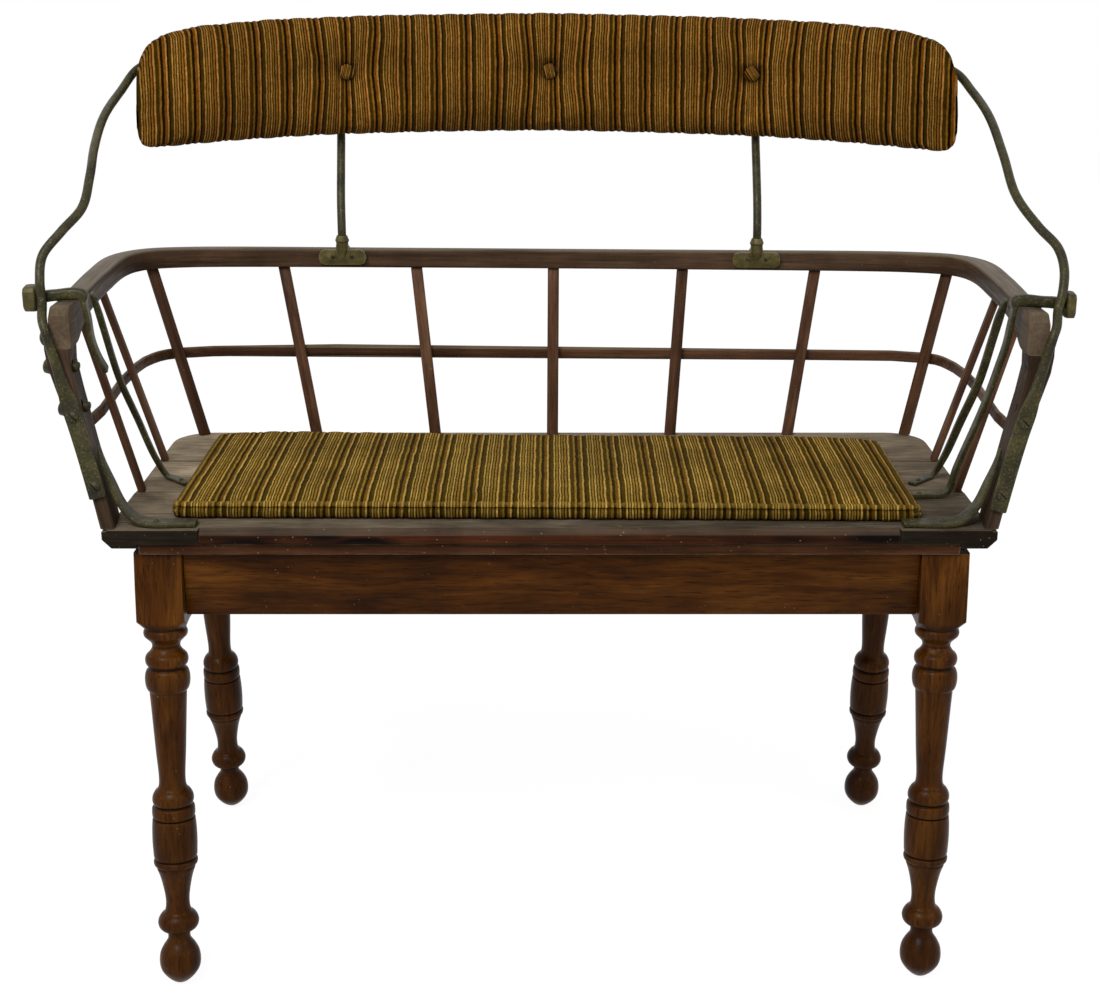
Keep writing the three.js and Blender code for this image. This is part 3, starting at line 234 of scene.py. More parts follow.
def wood(name, deep, middle, light, roughness, fibres=260, figure=22, pores=0.35, worn=None,
         dusty=None, sides=None, marks=0.0, knots=0.0, paler_left=0.0, relief=0.0002, gloss=0.045,
         shortness=1.0):
    """Wood whose grain runs along the first part of each point's grain value, in metres."""
    made, tree, shader = finish(name, roughness, 0, gloss)
    place = point_value(tree, "grain", 1)
    band = noise(place, (1.6 * shortness, figure, figure), 4, 0.55, 1.4)
    fibre = noise(place, (9 * shortness, fibres, fibres), 4, 0.65)
    pore = noise(place, (45, fibres * 3, fibres * 3), 2)
    blotch = noise(place, 14, 4, 0.6)
    tone = times(faded(fibre, 0.28, 0.72, 0.55, 1.4),
                 faded(blotch, 0.3, 0.7, 0.7, 1.26))
    # Paler towards the left end and darker towards the front, by where each point stands.
    if paler_left:
        spot = node("TexCoord", output=3, tree=tree)
        tone = times(tone, faded(one_part(spot, 0), -0.42, 0.42, 1 + paler_left, 1 - paler_left),
                     faded(one_part(spot, 1), -0.2, 0.0, 0.4, 1.05))
    colour = toned(ramp(band, [(0.28, deep), (0.5, middle), (0.74, light)]), tone)
    open_pore = faded(pore, 0.58, 0.7, 0, pores)
    colour = blended(open_pore, colour, [c * 0.3 for c in deep])
    if knots:
        dark = flecks(place, (13, 50, 50), (0, 0, 0.02), 0.55)
        colour = blended(times(dark, knots), colour, [c * 0.4 for c in deep])
    if dusty or sides:
        up = one_part(node("NewGeometry", output=1, tree=tree), 2)
    if dusty:
        dust, amount = dusty
        lying = maths("MAXIMUM", faded(up, 0.45, 0.85), point_value(tree, "handled"))
        lying = times(lying, faded(blotch, 0.25, 0.6, 0.45, 1),
                      faded(fibre, 0.25, 0.6, 0.5, 1), amount)
        colour = blended(lying, colour, dust)
    # Painted shade: faces that do not look up are darkened, down to near black.
    if sides:
        painted_shade, amount = sides
        upright = times(faded(up, 0.75, 0.35), amount, faded(fibre, 0.2, 0.8, 1, 0.9))
        colour = blended(upright, colour, painted_shade)
    if worn:
        bare, amount = worn
        edge = edge_wear(tree, 0.0022, 0.9, 0.995)
        patchy = times(edge, faded(blotch, 0.36, 0.54, 0, amount))
        colour = blended(patchy, colour, bare)
    if marks:
        dots = flecks(place, (90, 90, 90), (0, 0, 0), 0.05)
        scratches = flecks(place, (16, 170, 170), (0.5, 0.4, 0.9), 0.1)
        chips = maths("MAXIMUM", dots, scratches)
        where = faded(noise(place, 31, 2), 0.62 - 0.2 * marks, 0.66, 0, marks)
        colour = blended(times(chips, where), colour, (0.3, 0.2, 0.11))
    # Painted shade: the turned legs' grooves and lower parts are darkened towards a deep brown.
    colour = blended(point_value(tree, "painted_wood_shade"), colour, [c * 0.35 for c in deep])
    feed(shader, "Base Color", colour)
    feed(shader, "Roughness", faded(fibre, 0.3, 0.7, roughness + 0.1, roughness - 0.08))
    height = maths("SUBTRACT", fibre, times(open_pore, 0.8))
    feed(shader, "Normal", bumped(height, 0.5, relief))
    return made


def closed_mesh(name, points, faces):
    """A mesh whose faces all look outwards."""
    mesh = bpy.data.meshes.new(name)
    mesh.from_pydata([tuple(p) for p in points], [], [tuple(f) for f in faces])
    shape = bmesh.new()
    shape.from_mesh(mesh)
    bmesh.ops.recalc_face_normals(shape, faces=shape.faces)
    shape.to_mesh(mesh)
    shape.free()
    return mesh


def with_values(mesh, name, values):
    """Gives each point of a mesh a number, or a set of three, for its material to read."""
    values = np.asarray(values, np.float32)
    kind, key = ("FLOAT", "value") if values.ndim == 1 else ("FLOAT_VECTOR", "vector")
    mesh.attributes.new(name, kind, "POINT").data.foreach_set(key, values.ravel())


def shown_piece(name, points, faces, material, source="", body="frame", grain=None,
                crease=35):
    """A new piece that rides on a body: smooth, but for edges sharper than the crease. It stands
    for the CAD solid named as its source."""
    mesh = closed_mesh(name, points, faces)
    if grain is not None:
        with_values(mesh, "grain", grain)
    mesh.shade_smooth()
    mesh.set_sharp_from_angle(angle=math.radians(crease))
    mesh.materials.append(material)
    made = bpy.data.objects.new(name, mesh)
    scene.collection.objects.link(made)
    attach(made, body)
    if source:
        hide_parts(source)
    return made


def skinned(name, rings, material, source="", grain=None, crease=35):
    """A piece whose skin joins rings of points, one after the other, and closes both ends."""
    rows, count = len(rings), len(rings[0])
    here = np.arange(rows * count).reshape(rows, count)
    after = np.roll(here, -1, axis=1)
    sides = np.stack([here[:-1], after[:-1], after[1:], here[1:]], axis=-1).reshape(-1, 4)
    faces = [*sides.tolist(), here[0].tolist(), here[-1].tolist()]
    return shown_piece(name, np.vstack(rings), faces, material, source, grain=grain,
                       crease=crease)


def full_turn(count):
    """Angles spaced evenly round a full turn."""
    return np.arange(count) * 2 * math.pi / count


varnished = wood("varnished_wood", (0.0155, 0.0042, 0.0004), (0.045, 0.0135, 0.0011),
                 (0.08, 0.0275, 0.0033), 0.3, worn=((0.12, 0.056, 0.013), 0.45), marks=0.5,
                 pores=0.7, gloss=0.055, shortness=2.4)

turn_points = 96
angle = full_turn(turn_points)
turning = smooth_rows([(rise / 1000 * shoulder, radius / 1000 * barrel_radius)
                       for rise, radius in leg_turning], 5, 2)
turning = np.vstack([turning, [(block_bottom + rise, reach) for rise, reach in corner_reach]])
square = block_half / (np.abs(np.cos(angle)) ** block_crispness
                       + np.abs(np.sin(angle)) ** block_crispness) ** (1 / block_crispness)
heights, radii = turning.T
# Painted shade: the turned grooves are darkened, and the lower leg more and more towards the foot.
beside = [np.interp(heights + reach, heights, np.minimum(radii, widest_turning))
          for reach in (-groove_half, groove_half)]
leg_shade = 0.9 * np.clip((np.minimum(*beside) - radii) / groove_depth, 0, 1)
painted_shade = foot_shade * np.clip(1.15 - heights / shoulder, 0, 1)
leg_shade = np.maximum(leg_shade, painted_shade)
for i, (name, (x, y, lean)) in enumerate(leg_places.items()):
    rings, grain = [], []
    tilt = math.radians(lean)
    for height, radius in turning:
        reach = np.minimum(radius, square)
        across, deep = reach * np.cos(angle), reach * np.sin(angle)
        rise = np.full(turn_points, (height - leg_pivot) / math.cos(tilt))
        ring = np.stack([x + across, y + deep * math.cos(tilt) - rise * math.sin(tilt),
                         leg_pivot + deep * math.sin(tilt) + rise * math.cos(tilt)], axis=1)
        ring[:, 2] = np.clip(ring[:, 2], 0, leg_height)
        rings.append(ring)
        grain.append(np.stack([np.full(turn_points, height + 1.7 * i), across, deep], axis=1))
    leg = skinned("turned_" + name, rings, varnished, name, grain, crease=50)
    with_values(leg.data, "painted_wood_shade", np.repeat(leg_shade, turn_points))


# Aprons: plain boards of the same varnished wood, tenoned between the leg blocks a few
# millimetres behind their faces.
def unit(*parts):
    return np.array(Vector(parts).normalized())


def eased(name, source, radius, material, along=(1, 0, 0), segments=2, shift=0.0,
          crease=35, shrunk=(0, 0)):
    """A copy of a CAD solid with its edges eased, whose grain runs along a direction. Its front
    and rear edges can be drawn in a little."""
    shape = bmesh.new()
    shape.from_mesh(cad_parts[source].data)
    bmesh.ops.remove_doubles(shape, verts=shape.verts, dist=0.00002)
    bmesh.ops.dissolve_limit(shape, angle_limit=math.radians(1.5), verts=shape.verts,
                             edges=shape.edges)
    sharp = [e for e in shape.edges
             if len(e.link_faces) == 2 and e.calc_face_angle(0) > math.radians(28)]
    bmesh.ops.bevel(shape, geom=sharp, offset=radius, segments=segments, profile=0.5,
                    affect="EDGES", clamp_overlap=True)
    bmesh.ops.triangulate(shape, faces=[f for f in shape.faces if len(f.verts) > 4])
    points = np.array([v.co for v in shape.verts])
    faces = [[v.index for v in f.verts] for f in shape.faces]
    shape.free()
    front, rear = points[:, 1].min(), points[:, 1].max()
    points[:, 1] += shrunk[0] * (points[:, 1] < front + 0.002)
    points[:, 1] -= shrunk[1] * (points[:, 1] > rear - 0.002)
    first = unit(*along)
    second = unit(*Vector(first).orthogonal())
    grain = np.stack([points @ first + shift, points @ second,
                      points @ np.cross(first, second)], axis=1)
    return shown_piece(name, points, faces, material, source, grain=grain, crease=crease)


for i, (side, along) in enumerate((("front", (1, 0, 0)), ("rear", (1, 0, 0)),
                                   ("left", (0, 1, 0)), ("right", (0, 1, 0)))):
    eased("board_apron_" + side, "apron_" + side, 0.0012, varnished, along,
          shift=2.3 * i)


# Bearers: thin strips along the front and rear carry the seat boards over the base, with a
# batten of plain wood across each end.
sawn = wood("sawn_wood", (0.12, 0.07, 0.03), (0.2, 0.12, 0.055), (0.27, 0.17, 0.08), 0.75,
            pores=0.5, relief=0.0004)
strip_wood = wood("strip_wood", (0.013, 0.0045, 0.0018), (0.045, 0.0165, 0.006),
                  (0.075, 0.03, 0.012), 0.42, worn=((0.21, 0.145, 0.095), 1.0), marks=1.3)
for i, side in enumerate(("front", "rear")):
    eased("bearer_" + side, "seat_strip_" + side, 0.0022, strip_wood,
          shift=3.1 * i)
for i, side in enumerate(("left", "right")):
    eased("batten_" + side, "seat_batten_" + side, 0.001, sawn, (0, 1, 0),
          shift=1.3 * i)


# Seat boards: three old softwood planks side by side, grey and dry on top, with rounded rear
# corners. The front one holds a harder, reddish nosing let in between its dark ends.
# The boards' material darkens every face that does not look up with painted shade.
weathered = wood("weathered_board", (0.1, 0.073, 0.048), (0.2, 0.154, 0.103),
                 (0.31, 0.25, 0.17), 0.78, fibres=400, figure=11, pores=0.5,
                 sides=((0.0068, 0.0043, 0.0024), 1.0), worn=((0.06, 0.042, 0.028), 0.6),
                 marks=0.8, paler_left=0.3, relief=0.0005, shortness=3.2)
nosing_wood = wood("nosing_wood", (0.006, 0.0022, 0.0008), (0.023, 0.0068, 0.002),
                   (0.056, 0.0155, 0.0045), 0.4, worn=((0.15, 0.1, 0.066), 1.0),
                   dusty=((0.074, 0.051, 0.034), 0.9), marks=1.5, knots=1.0)
board_gap = 0.0008
for i, (plank, front, rear) in enumerate((("front", 0, board_gap),
                                          ("middle", board_gap, board_gap),
                                          ("rear", board_gap, 0))):
    eased("board_" + plank, "seat_plank_" + plank, 0.0022, weathered, segments=3,
          shift=4.7 * i, shrunk=(front, rear))
eased("nosing", "seat_nosing", 0.0016, nosing_wood, segments=3)


# Top rail: one length of ash bent round the back and both sides, with its arm ends left thick.
# Hands have worn its dark finish grey along the top.
rail_finish = {"roughness": 0.44, "fibres": 300, "marks": 0.5, "relief": 0.0003}
rail_wood = wood("rail_wood", (0.02, 0.0105, 0.0055), (0.05, 0.028, 0.0155),
                 (0.088, 0.053, 0.031), worn=((0.13, 0.095, 0.062), 0.6),
                 dusty=((0.122, 0.095, 0.063), 0.92), **rail_finish)
rail_shares = [
    (0.979, 0, 1, 1.05), (0.979, 0.08, 1, 1.05), (0.982, 0.16, 0.74, 1.08), (0.987, 0.26, 0.6, 1.15),
    (1, 0.559, 0.54, 1.28), (1.002, 0.8, 0.53, 1.3), (0.985, 0.8865, 0.53, 1.23),
    (0.945, 0.95, 0.53, 1.15), (0.858, 0.9855, 0.53, 1.03), (0.748, 0.998, 0.53, 0.96),
    (0.416, 1, 0.52, 0.9), (0, 1, 0.515, 0.9),
]
rail_half = 0.481
rail_top = 0.703
rail_roll = 0.007
rail_front = -0.18412
rail_back = 0.16838
rail_nose = 0.041
rail_thickness = 0.019
nose_bevel = 0.008
rail_edge = 0.0032
grip_length = 0.07


def rounded_section(width, height, radius):
    """A rectangle with rounded corners, as points round its middle."""
    turn = np.linspace(0, math.pi / 2, 4)
    corners = []
    for k, (sx, sy) in enumerate(((1, 1), (-1, 1), (-1, -1), (1, -1))):
        centre = np.array([sx * (width / 2 - radius), sy * (height / 2 - radius)])
        arc = np.stack([np.cos(turn + k * math.pi / 2), np.sin(turn + k * math.pi / 2)], axis=1)
        corners.append(centre + radius * arc)
    return np.vstack(corners)


def run_length(points):
    steps = np.linalg.norm(np.diff(points, axis=0), axis=1)
    return np.concatenate([[0], np.cumsum(steps)])


left_half = [(-across * rail_half, rail_front + (rail_back - rail_front) * back,
              height * rail_nose, thick * rail_thickness)
             for across, back, height, thick in rail_shares]
rail_rows = smooth_rows([*left_half, *[(-x, y, h, t) for x, y, h, t in left_half[-2::-1]]], 12, 2)
plan = rail_rows[:, :2]
along = np.gradient(plan, axis=0)
along /= np.linalg.norm(along, axis=1)[:, None]
run = run_length(plan)
rings, grain, handled = [], [], []
for (x, y, height, thick), (ax, ay), s in zip(rail_rows, along, run):
    from_end = min(s, run[-1] - s)
    top = rail_top - x * rail_roll
    low = top - height
    top -= nose_bevel * (1 - min(from_end / nose_bevel, 1))
    section = rounded_section(thick, top - low, rail_edge)
    rings.append(np.stack([bench_middle + x + section[:, 0] * ay, y - section[:, 0] * ax,
                           (top + low) / 2 + section[:, 1]], axis=1))
    grain.append(np.column_stack([np.full(len(section), s), section]))
    handled.extend([0.6 * math.exp(-(from_end / grip_length) ** 4)] * len(section))
top_rail = skinned("bent_top_rail", rings, rail_wood, "top_rail", grain)
with_values(top_rail.data, "handled", handled)


# Spindles, posts and mid rail: flat ash spindles stand between seat and rail, stout curved posts
# carry the arm ends, and a thin slat bent outside the spindles ties them.
spindle_wood = wood("spindle_wood", (0.027, 0.0115, 0.0056), (0.067, 0.0305, 0.0155),
                    (0.115, 0.057, 0.031), worn=((0.14, 0.095, 0.06), 0.5),
                    dusty=((0.122, 0.095, 0.063), 0.8), **rail_finish)
stile_wood = wood("stile_wood", (0.0145, 0.008, 0.0043), (0.037, 0.0215, 0.0122),
                  (0.066, 0.041, 0.0245), worn=((0.11, 0.078, 0.05), 0.6), **rail_finish)
for i in range(7):
    lean = (0.28 * (i - 3) / 3, 0.12, 1)
    eased("flat_spindle_back_%d" % (i + 1), "spindle_back_%d" % (i + 1), 0.0011, spindle_wood,
          lean, shift=1.1 * i)
for i, (side, sign) in enumerate((("left", -1), ("right", 1))):
    for j, place in enumerate(("front", "rear")):
        name = "spindle_%s_%s" % (side, place)
        eased("flat_" + name, name, 0.0011, spindle_wood, (sign * 0.28, 0, 1),
              shift=9 + 2.1 * i + j)
    eased("stile_" + side, "post_" + side, 0.0014, stile_wood,
          (sign * 0.28, 0.19, 1), shift=15 + i)
eased("bent_mid_rail", "mid_rail", 0.0009, spindle_wood, shift=21)


# Side irons: a flat strap screwed up the front of each post, drawn out into a round rod that
# sweeps back and is bent in behind the backrest. Olive paint, worn to dull metal on the edges.
iron, tree, shader = finish("painted_iron", 0.38, 0.1, 0.22)
place = node("TexCoord", output=3, tree=tree)
cloud = noise(place, 42, 4, 0.6)
fleck = noise(place, 520, 3, 0.65)
colour = ramp(cloud, [(0.3, (0.0095, 0.008, 0.002)), (0.5, (0.024, 0.0205, 0.005)),
                      (0.7, (0.05, 0.043, 0.0125))])
pits = faded(fleck, 0.52, 0.66, 0, 0.7)
colour = blended(pits, colour, (0.008, 0.0065, 0.002))
bright = faded(fleck, 0.42, 0.34, 0, 0.5)
colour = blended(bright, colour, (0.15, 0.12, 0.036))
rubbed = times(edge_wear(tree, 0.0016, 0.86, 0.99), faded(cloud, 0.35, 0.6, 0.1, 0.85))
colour = blended(rubbed, colour, (0.17, 0.13, 0.036))
colour = blended(point_value(tree, "shade"), colour, (0.006, 0.005, 0.002))
feed(shader, "Base Color", colour)
feed(shader, "Roughness", faded(cloud, 0.3, 0.7, 0.55, 0.34))
feed(shader, "Normal", bumped(maths("ADD", fleck, cloud), 0.5, 0.0004))
iron_points = 24
route_steps = 10
end_bevels = ((0.7, 0), (0.9, 0.00036), (1, 0.0012))


def soft_section(width, thickness, squareness):
    power = 1 - 0.75 * min(max(squareness, 0), 1)
    turn = full_turn(iron_points) + math.pi / iron_points
    sides = np.stack([np.cos(turn), np.sin(turn)], axis=1)
    return np.sign(sides) * np.abs(sides) ** power * (width / 2, thickness / 2)


def forged(name, source, route, sections, across, carried=False):
    """An iron forged along a route. A section is its width, thickness and squareness, and all is
    in millimetres. Its width lies along the given direction, or starts there and is carried."""
    rows = np.hstack([route, sections[:len(route)]])
    rows[:, :5] /= 1000
    lowest = rows[:, 2].min()
    rows = smooth_rows(rows, route_steps, 3)
    rows[:, 2] = np.maximum(rows[:, 2], lowest)
    points = rows[:, :3]
    direction = np.gradient(points, axis=0)
    direction /= np.linalg.norm(direction, axis=1)[:, None]
    across = hint = np.array(across, float)
    run = run_length(points)
    rings, grain = [], []
    for k, (point, along, s) in enumerate(zip(points, direction, run)):
        start = across if carried else hint
        across = start - along * (start @ along)
        across /= np.linalg.norm(across)
        up = np.cross(along, across)
        section = soft_section(*rows[k, 3:6])
        ends = [(1, 0)]
        if k == 0:
            ends = end_bevels
        if k == len(points) - 1:
            ends = [(size, -offset) for size, offset in end_bevels[::-1]]
        for size, offset in ends:
            centre = point + along * offset
            rings.append(centre + size * (section[:, :1] * across + section[:, 1:] * up))
            grain.append(np.column_stack([np.full(len(section), s), section]))
    return skinned(name, rings, iron, source, grain, crease=60)


strap, rod = (16.5, 4.5, 1), (9.2, 9.2, 0)
side_sections = [strap] * 4 + [(12.48, 7.08, 0.45), (10.66, 8.26, 0.2)] + [rod] * 14
side_routes = {
    "left": [
        (-438.7, -213.7, 524.2), (-449.8, -205.6, 566.5), (-457.9, -200.2, 594.7),
        (-464, -196.4, 614.4), (-468.9, -194.5, 631.3), (-473.7, -191.8, 648.2),
        (-482.5, -190.4, 683.7), (-486.1, -185.1, 693.6), (-490.5, -165.9, 707.3),
        (-491.9, -162.3, 727.6), (-491.4, -147.7, 749.6), (-476.3, -129.8, 770.2),
        (-462.1, -100.4, 789), (-461.7, -62.9, 814.9), (-467.1, -15.6, 838.5),
        (-470.2, 45.3, 863.9), (-465.9, 113.9, 886.1), (-453.7, 147, 906.7), (-436, 158.5, 914),
        (-412, 167, 905),
    ],
    "right": [
        (435.3, -216.1, 511.3), (447, -207.3, 555.4), (455.5, -201.4, 584.8),
        (462.2, -197.3, 605.4), (467.7, -195, 623), (472.8, -192.1, 640.7),
        (482.1, -190.5, 677.8), (486.2, -185.1, 687.1), (491.9, -165.8, 700.8),
        (495.7, -162.1, 715.1), (499.7, -147.5, 736.1), (497.3, -129.4, 753.9),
        (484.5, -99.8, 770.5), (470, -62.1, 795.6), (466.2, -14.4, 830.5), (464.7, 46.9, 862.4),
        (460.3, 115.9, 884.6), (448.6, 149.2, 902.1), (431, 160, 908.5), (407, 168.5, 900),
    ],
}
for side, route in side_routes.items():
    forged("rod_and_strap_" + side, "side_iron_" + side, route, side_sections, (1, 0, 0), True)


# Bracket irons: a bar over each arm, drawn down to a round stud that holds a square nut outside
# it. Inside it turns down as a flat strap, short on the left, down to the seat on the right.
brass, tree, shader = finish("tarnished_brass", 0.48, 0.2, 0.2)
cloud = noise(node("TexCoord", output=3, tree=tree), 90, 4, 0.6)
colour = ramp(cloud, [(0.3, (0.028, 0.0225, 0.007)), (0.55, (0.068, 0.055, 0.0165)),
                      (0.75, (0.125, 0.1, 0.033))])
rubbed = times(edge_wear(tree, 0.0014, 0.86, 0.99), 0.8)
colour = blended(rubbed, colour, (0.24, 0.19, 0.065))
feed(shader, "Base Color", colour)
feed(shader, "Normal", bumped(cloud, 0.4, 0.0004))
bracket_sections = [(9, 9, 0)] * 2 + [(12, 11, 0.6)] * 3 + [(12, 5, 1)] * 9
bracket_routes = {
    "left": [
        (-504.9, -153.1, 709.6), (-496.9, -153.1, 709.6), (-491.4, -153.1, 710.8),
        (-481.2, -153.1, 712.1), (-454.2, -153.1, 712.1), (-453, -153.1, 705),
        (-450.8, -152.6, 690), (-449.6, -150, 668), (-446, -145.2, 650), (-440.4, -138.7, 633.6),
    ],
    "right": [
        (508.9, -153.1, 703), (500.9, -153.1, 703), (495.4, -153.1, 704.3),
        (480.8, -153.1, 705.5), (453.8, -153.1, 705.5), (452.6, -153.1, 699),
        (450.4, -152.4, 682), (448.4, -148.5, 661), (444.8, -142.6, 640.1), (434.5, -134, 593.9),
        (415.6, -118.2, 525.2), (410.5, -112.4, 500.7), (400.3, -112.4, 495.8),
        (370.8, -113.5, 495.8),
    ],
}
for side, route in bracket_routes.items():
    forged("arm_bracket_" + side, "bracket_iron_" + side, route, bracket_sections, (0, 1, 0))
    eased("square_nut_" + side, "bracket_nut_" + side, 0.0016, brass, segments=3)


# Seat braces: thin flat bars, beaten wider at both ends, from inside the arms down to the seat.
brace_foot = (10, 3.5, 1)
brace_sections = {
    "left": [brace_foot, *[(6.5, 6.5, 0.8)] * 4, (7, 6, 0.8), brace_foot, brace_foot],
    "right": [brace_foot, *[(6.5, 8.3, 0.8)] * 4, (7, 7, 0.8), brace_foot, brace_foot],
}
brace_routes = {
    "left": [
        (-459.8, -97.1, 703.8), (-456.1, -93, 685.1), (-452.5, -87.9, 662.1), (-444, -75.7, 610),
        (-430.9, -64.5, 564.1), (-417.7, -53.3, 518.3), (-407.2, -46.1, 495.4),
        (-381.2, -72.1, 495.4),
    ],
    "right": [
        (458.4, -97.1, 697.2), (454.8, -93, 679), (451.2, -87.9, 656.8), (442.9, -75.7, 606.4),
        (430, -64.5, 562), (417.1, -53.3, 517.6), (406.8, -46.1, 495.4), (380.8, -72.1, 495.4),
    ],
}
for side, route in brace_routes.items():
    forged("thin_brace_" + side, "seat_brace_" + side, route, brace_sections[side], (0, 1, 0))


# Corner irons: flat bars down the inside of each post and inwards over the seat's front corner.
corner_sections = [(5.5, 3, 0.5), (10.5, 4.6, 0.9), (15, 5, 1), (18, 5, 1), (20, 5, 1),
                   (20, 5, 1), (17, 5, 1)]
corner_routes = {
    "left": [
        (-440.1, -192.1, 571.5), (-436, -195.2, 555.1), (-429.2, -195.7, 535.6),
        (-419, -196.8, 511.2), (-405.9, -199.6, 498.8), (-389.2, -204.1, 495.8),
        (-346.2, -204.1, 495.8),
    ],
    "right": [
        (439.6, -192.1, 568.4), (435.5, -195.2, 552.7), (428.7, -195.7, 533.9),
        (418.6, -196.8, 510.6), (405.5, -199.6, 498.6), (388.8, -204.1, 495.8),
        (345.8, -204.1, 495.8),
    ],
}
for side, route in corner_routes.items():
    forged("corner_strap_" + side, "corner_iron_" + side, route, corner_sections, (0, 1, 0))


# Centre props and clips: straight rods that lean back behind the backrest, each set in the collar
# of a small cast clip on the front of the top rail.
prop_sections = [(9.5, 9.5, 0)] * 7
prop_routes = {
    "left": [
        (-236.7, 156.9, 708.3), (-236.7, 156.9, 716.3), (-236.7, 156.9, 729.9),
        (-237.7, 168.1, 760.3), (-238.9, 190.6, 795.9), (-240.1, 213.1, 831.5),
        (-240.1, 225.6, 920.6),
    ],
    "right": [
        (236.3, 156.9, 704.9), (236.3, 156.9, 712.9), (236.3, 156.9, 726.5),
        (236.5, 168.2, 757.3), (236.8, 191, 793.2), (237.1, 213.7, 829.1), (237.1, 226.2, 918.2),
    ],
}
for side, route in prop_routes.items():
    forged("straight_prop_" + side, "back_prop_" + side, route, prop_sections, (1, 0, 0), True)
    eased("cast_clip_" + side, "prop_clip_" + side, 0.0006, brass, segments=3,
          crease=50)


# Backrest board: a thin board bent to an arc carries the pad and hides behind it.
eased("bent_board", "back_board", 0.0015, sawn, shift=6)


# Backrest pad: striped ribbed cloth drawn over a stuffed arc and sewn down at three buttons. The
# stripes run up and down and bend in towards each button.
back_radius = 1.0
back_half = 0.4585
back_shift = -0.0025
back_height = 0.1336
back_foot = 0.8303
back_setback = 0.20488
back_lean = math.radians(8)
back_roll = 0.005
pad_depth = 0.022
button_places = (-0.229, 0, 0.229)
button_rise = 0.069
button_pit = 0.0065
button_hollow = 0.0025
pit_width = 0.0145
hollow_width = 0.04
shadow_width = 0.0115
held_radius = 0.007
edge_share = 0.35
stripe_pull = 0.28
pull_width = 0.038
pull_height = 0.03
cloth_frames = 20
back_top = [(0, 1), (0.415, 0.979), (0.668, 0.95), (0.854, 0.9), (0.936, 0.83), (0.968, 0.75),
            (0.985, 0.645), (0.996, 0.51), (1, 0.23)]
back_bottom = [(0, 0.01), (0.3, 0), (0.55, -0.012), (0.749, -0.036), (0.944, -0.07),
               (0.973, -0.066), (0.985, -0.045), (0.994, 0), (1, 0.1)]
back_repeat = 0.034
threads_of_stripes = [
    ("olive", 3.6), ("gold", 1.8), ("black", 2.6), ("brown", 2.6), ("pale", 1.4), ("black", 1.6),
    ("olive", 3.0), ("pale", 1.2), ("olive", 1.2), ("gold", 1.5), ("black", 1.0), ("pale", 1.2),
    ("olive", 1.2), ("gold", 1.4), ("black", 1.0), ("gold", 1.6), ("rust", 1.5), ("pale", 1.6),
]
cords = ((-0.02, 0.18), (0.25, 0.385), (0.45, 0.975))


def striped_cloth(name, threads):
    """Ribbed cloth with stripes across the first part of each point's weave value, which counts
    repeats. A second value holds how strong its painted highlight and its painted shade are."""
    made, tree, shader = finish(name, 0.95, 0, 0.02)
    weave = point_value(tree, "weave", 1)
    painted_lighting = point_value(tree, "painted_lighting", 1)
    stray = noise(weave, (1.5, 12, 45), 3)
    waved = maths("ADD", one_part(weave, 0), faded(stray, 0.3, 0.7, -0.014, 0.014))
    total = sum(width for thread, width in threads_of_stripes)
    stops, run = [], 0
    for thread, width in threads_of_stripes:
        stops.append((run / total, threads[thread]))
        run += width
    colour = ramp(maths("FRACT", waved), stops, "CONSTANT")
    beside = ramp(maths("FRACT", maths("ADD", waved, 0.008)), stops, "CONSTANT")
    colour = blended(0.4, colour, beside)
    loops = noise(weave, (40, 300, 330), 2, 0.6)
    pile = noise(weave, (10, 60, 160), 3, 0.6)
    faint = noise(weave, (0.45, 0, 16), 2, 0.5)
    # Its second part darkens the cloth as painted shade, its first lightens it as painted highlight.
    tone = times(faded(loops, 0.3, 0.7, 0.74, 1.26), faded(pile, 0.3, 0.7, 0.72, 1.28),
                 faded(faint, 0.32, 0.68, 0.76, 1.2), faded(one_part(painted_lighting, 1), 0, 1, 1, 0.16))
    colour = blended(times(one_part(painted_lighting, 0), 0.6), toned(colour, tone), threads["pale"])
    feed(shader, "Base Color", colour)
    shader.inputs["Sheen Weight"].default_value = 0.01
    shader.inputs["Sheen Roughness"].default_value = 0.5
    feed(shader, "Normal", bumped(loops, 0.6, 0.0007))
    return made


def back_point(along, rise, depth):
    """A place on the backrest's arc, up its lean and in from the pad's front face."""
    radius = back_radius + depth
    x = radius * np.sin(along / back_radius)
    y = back_setback - back_radius + radius * np.cos(along / back_radius)
    return np.stack([bench_middle + x, y + rise * math.sin(back_lean),
                     back_foot + rise * math.cos(back_lean) - x * back_roll], axis=-1)


def finer(grid, steps, axis):
    """A grid with steps times as many spaces along an axis, on smooth curves through it."""
    grid = np.moveaxis(grid, axis, 0)
    grid = np.concatenate([2 * grid[:1] - grid[1:2], grid, 2 * grid[-1:] - grid[-2:-1]])
    p0, p1, p2, p3 = grid[:-3], grid[1:-2], grid[2:-1], grid[3:]
    made = [0.5 * (2 * p1 + (p2 - p0) * t + (2 * p0 - 5 * p1 + 4 * p2 - p3) * t ** 2
                   + (3 * p1 - p0 - 3 * p2 + p3) * t ** 3) for t in np.arange(steps) / steps]
    made = np.stack(made, axis=1).reshape(-1, *grid.shape[1:])
    return np.moveaxis(np.concatenate([made, grid[-2:-1]]), 0, axis)


def grid_faces(rows, columns):
    """Quads over a grid whose last row joins its first, with both ends closed."""
    here = np.arange(rows * columns).reshape(rows, columns)
    after = np.roll(here, -1, axis=0)
    quads = np.stack([here[:, :-1], here[:, 1:], after[:, 1:], after[:, :-1]], axis=-1)
    return [*quads.reshape(-1, 4).tolist(), here[:, 0].tolist(), here[:, -1].tolist()]


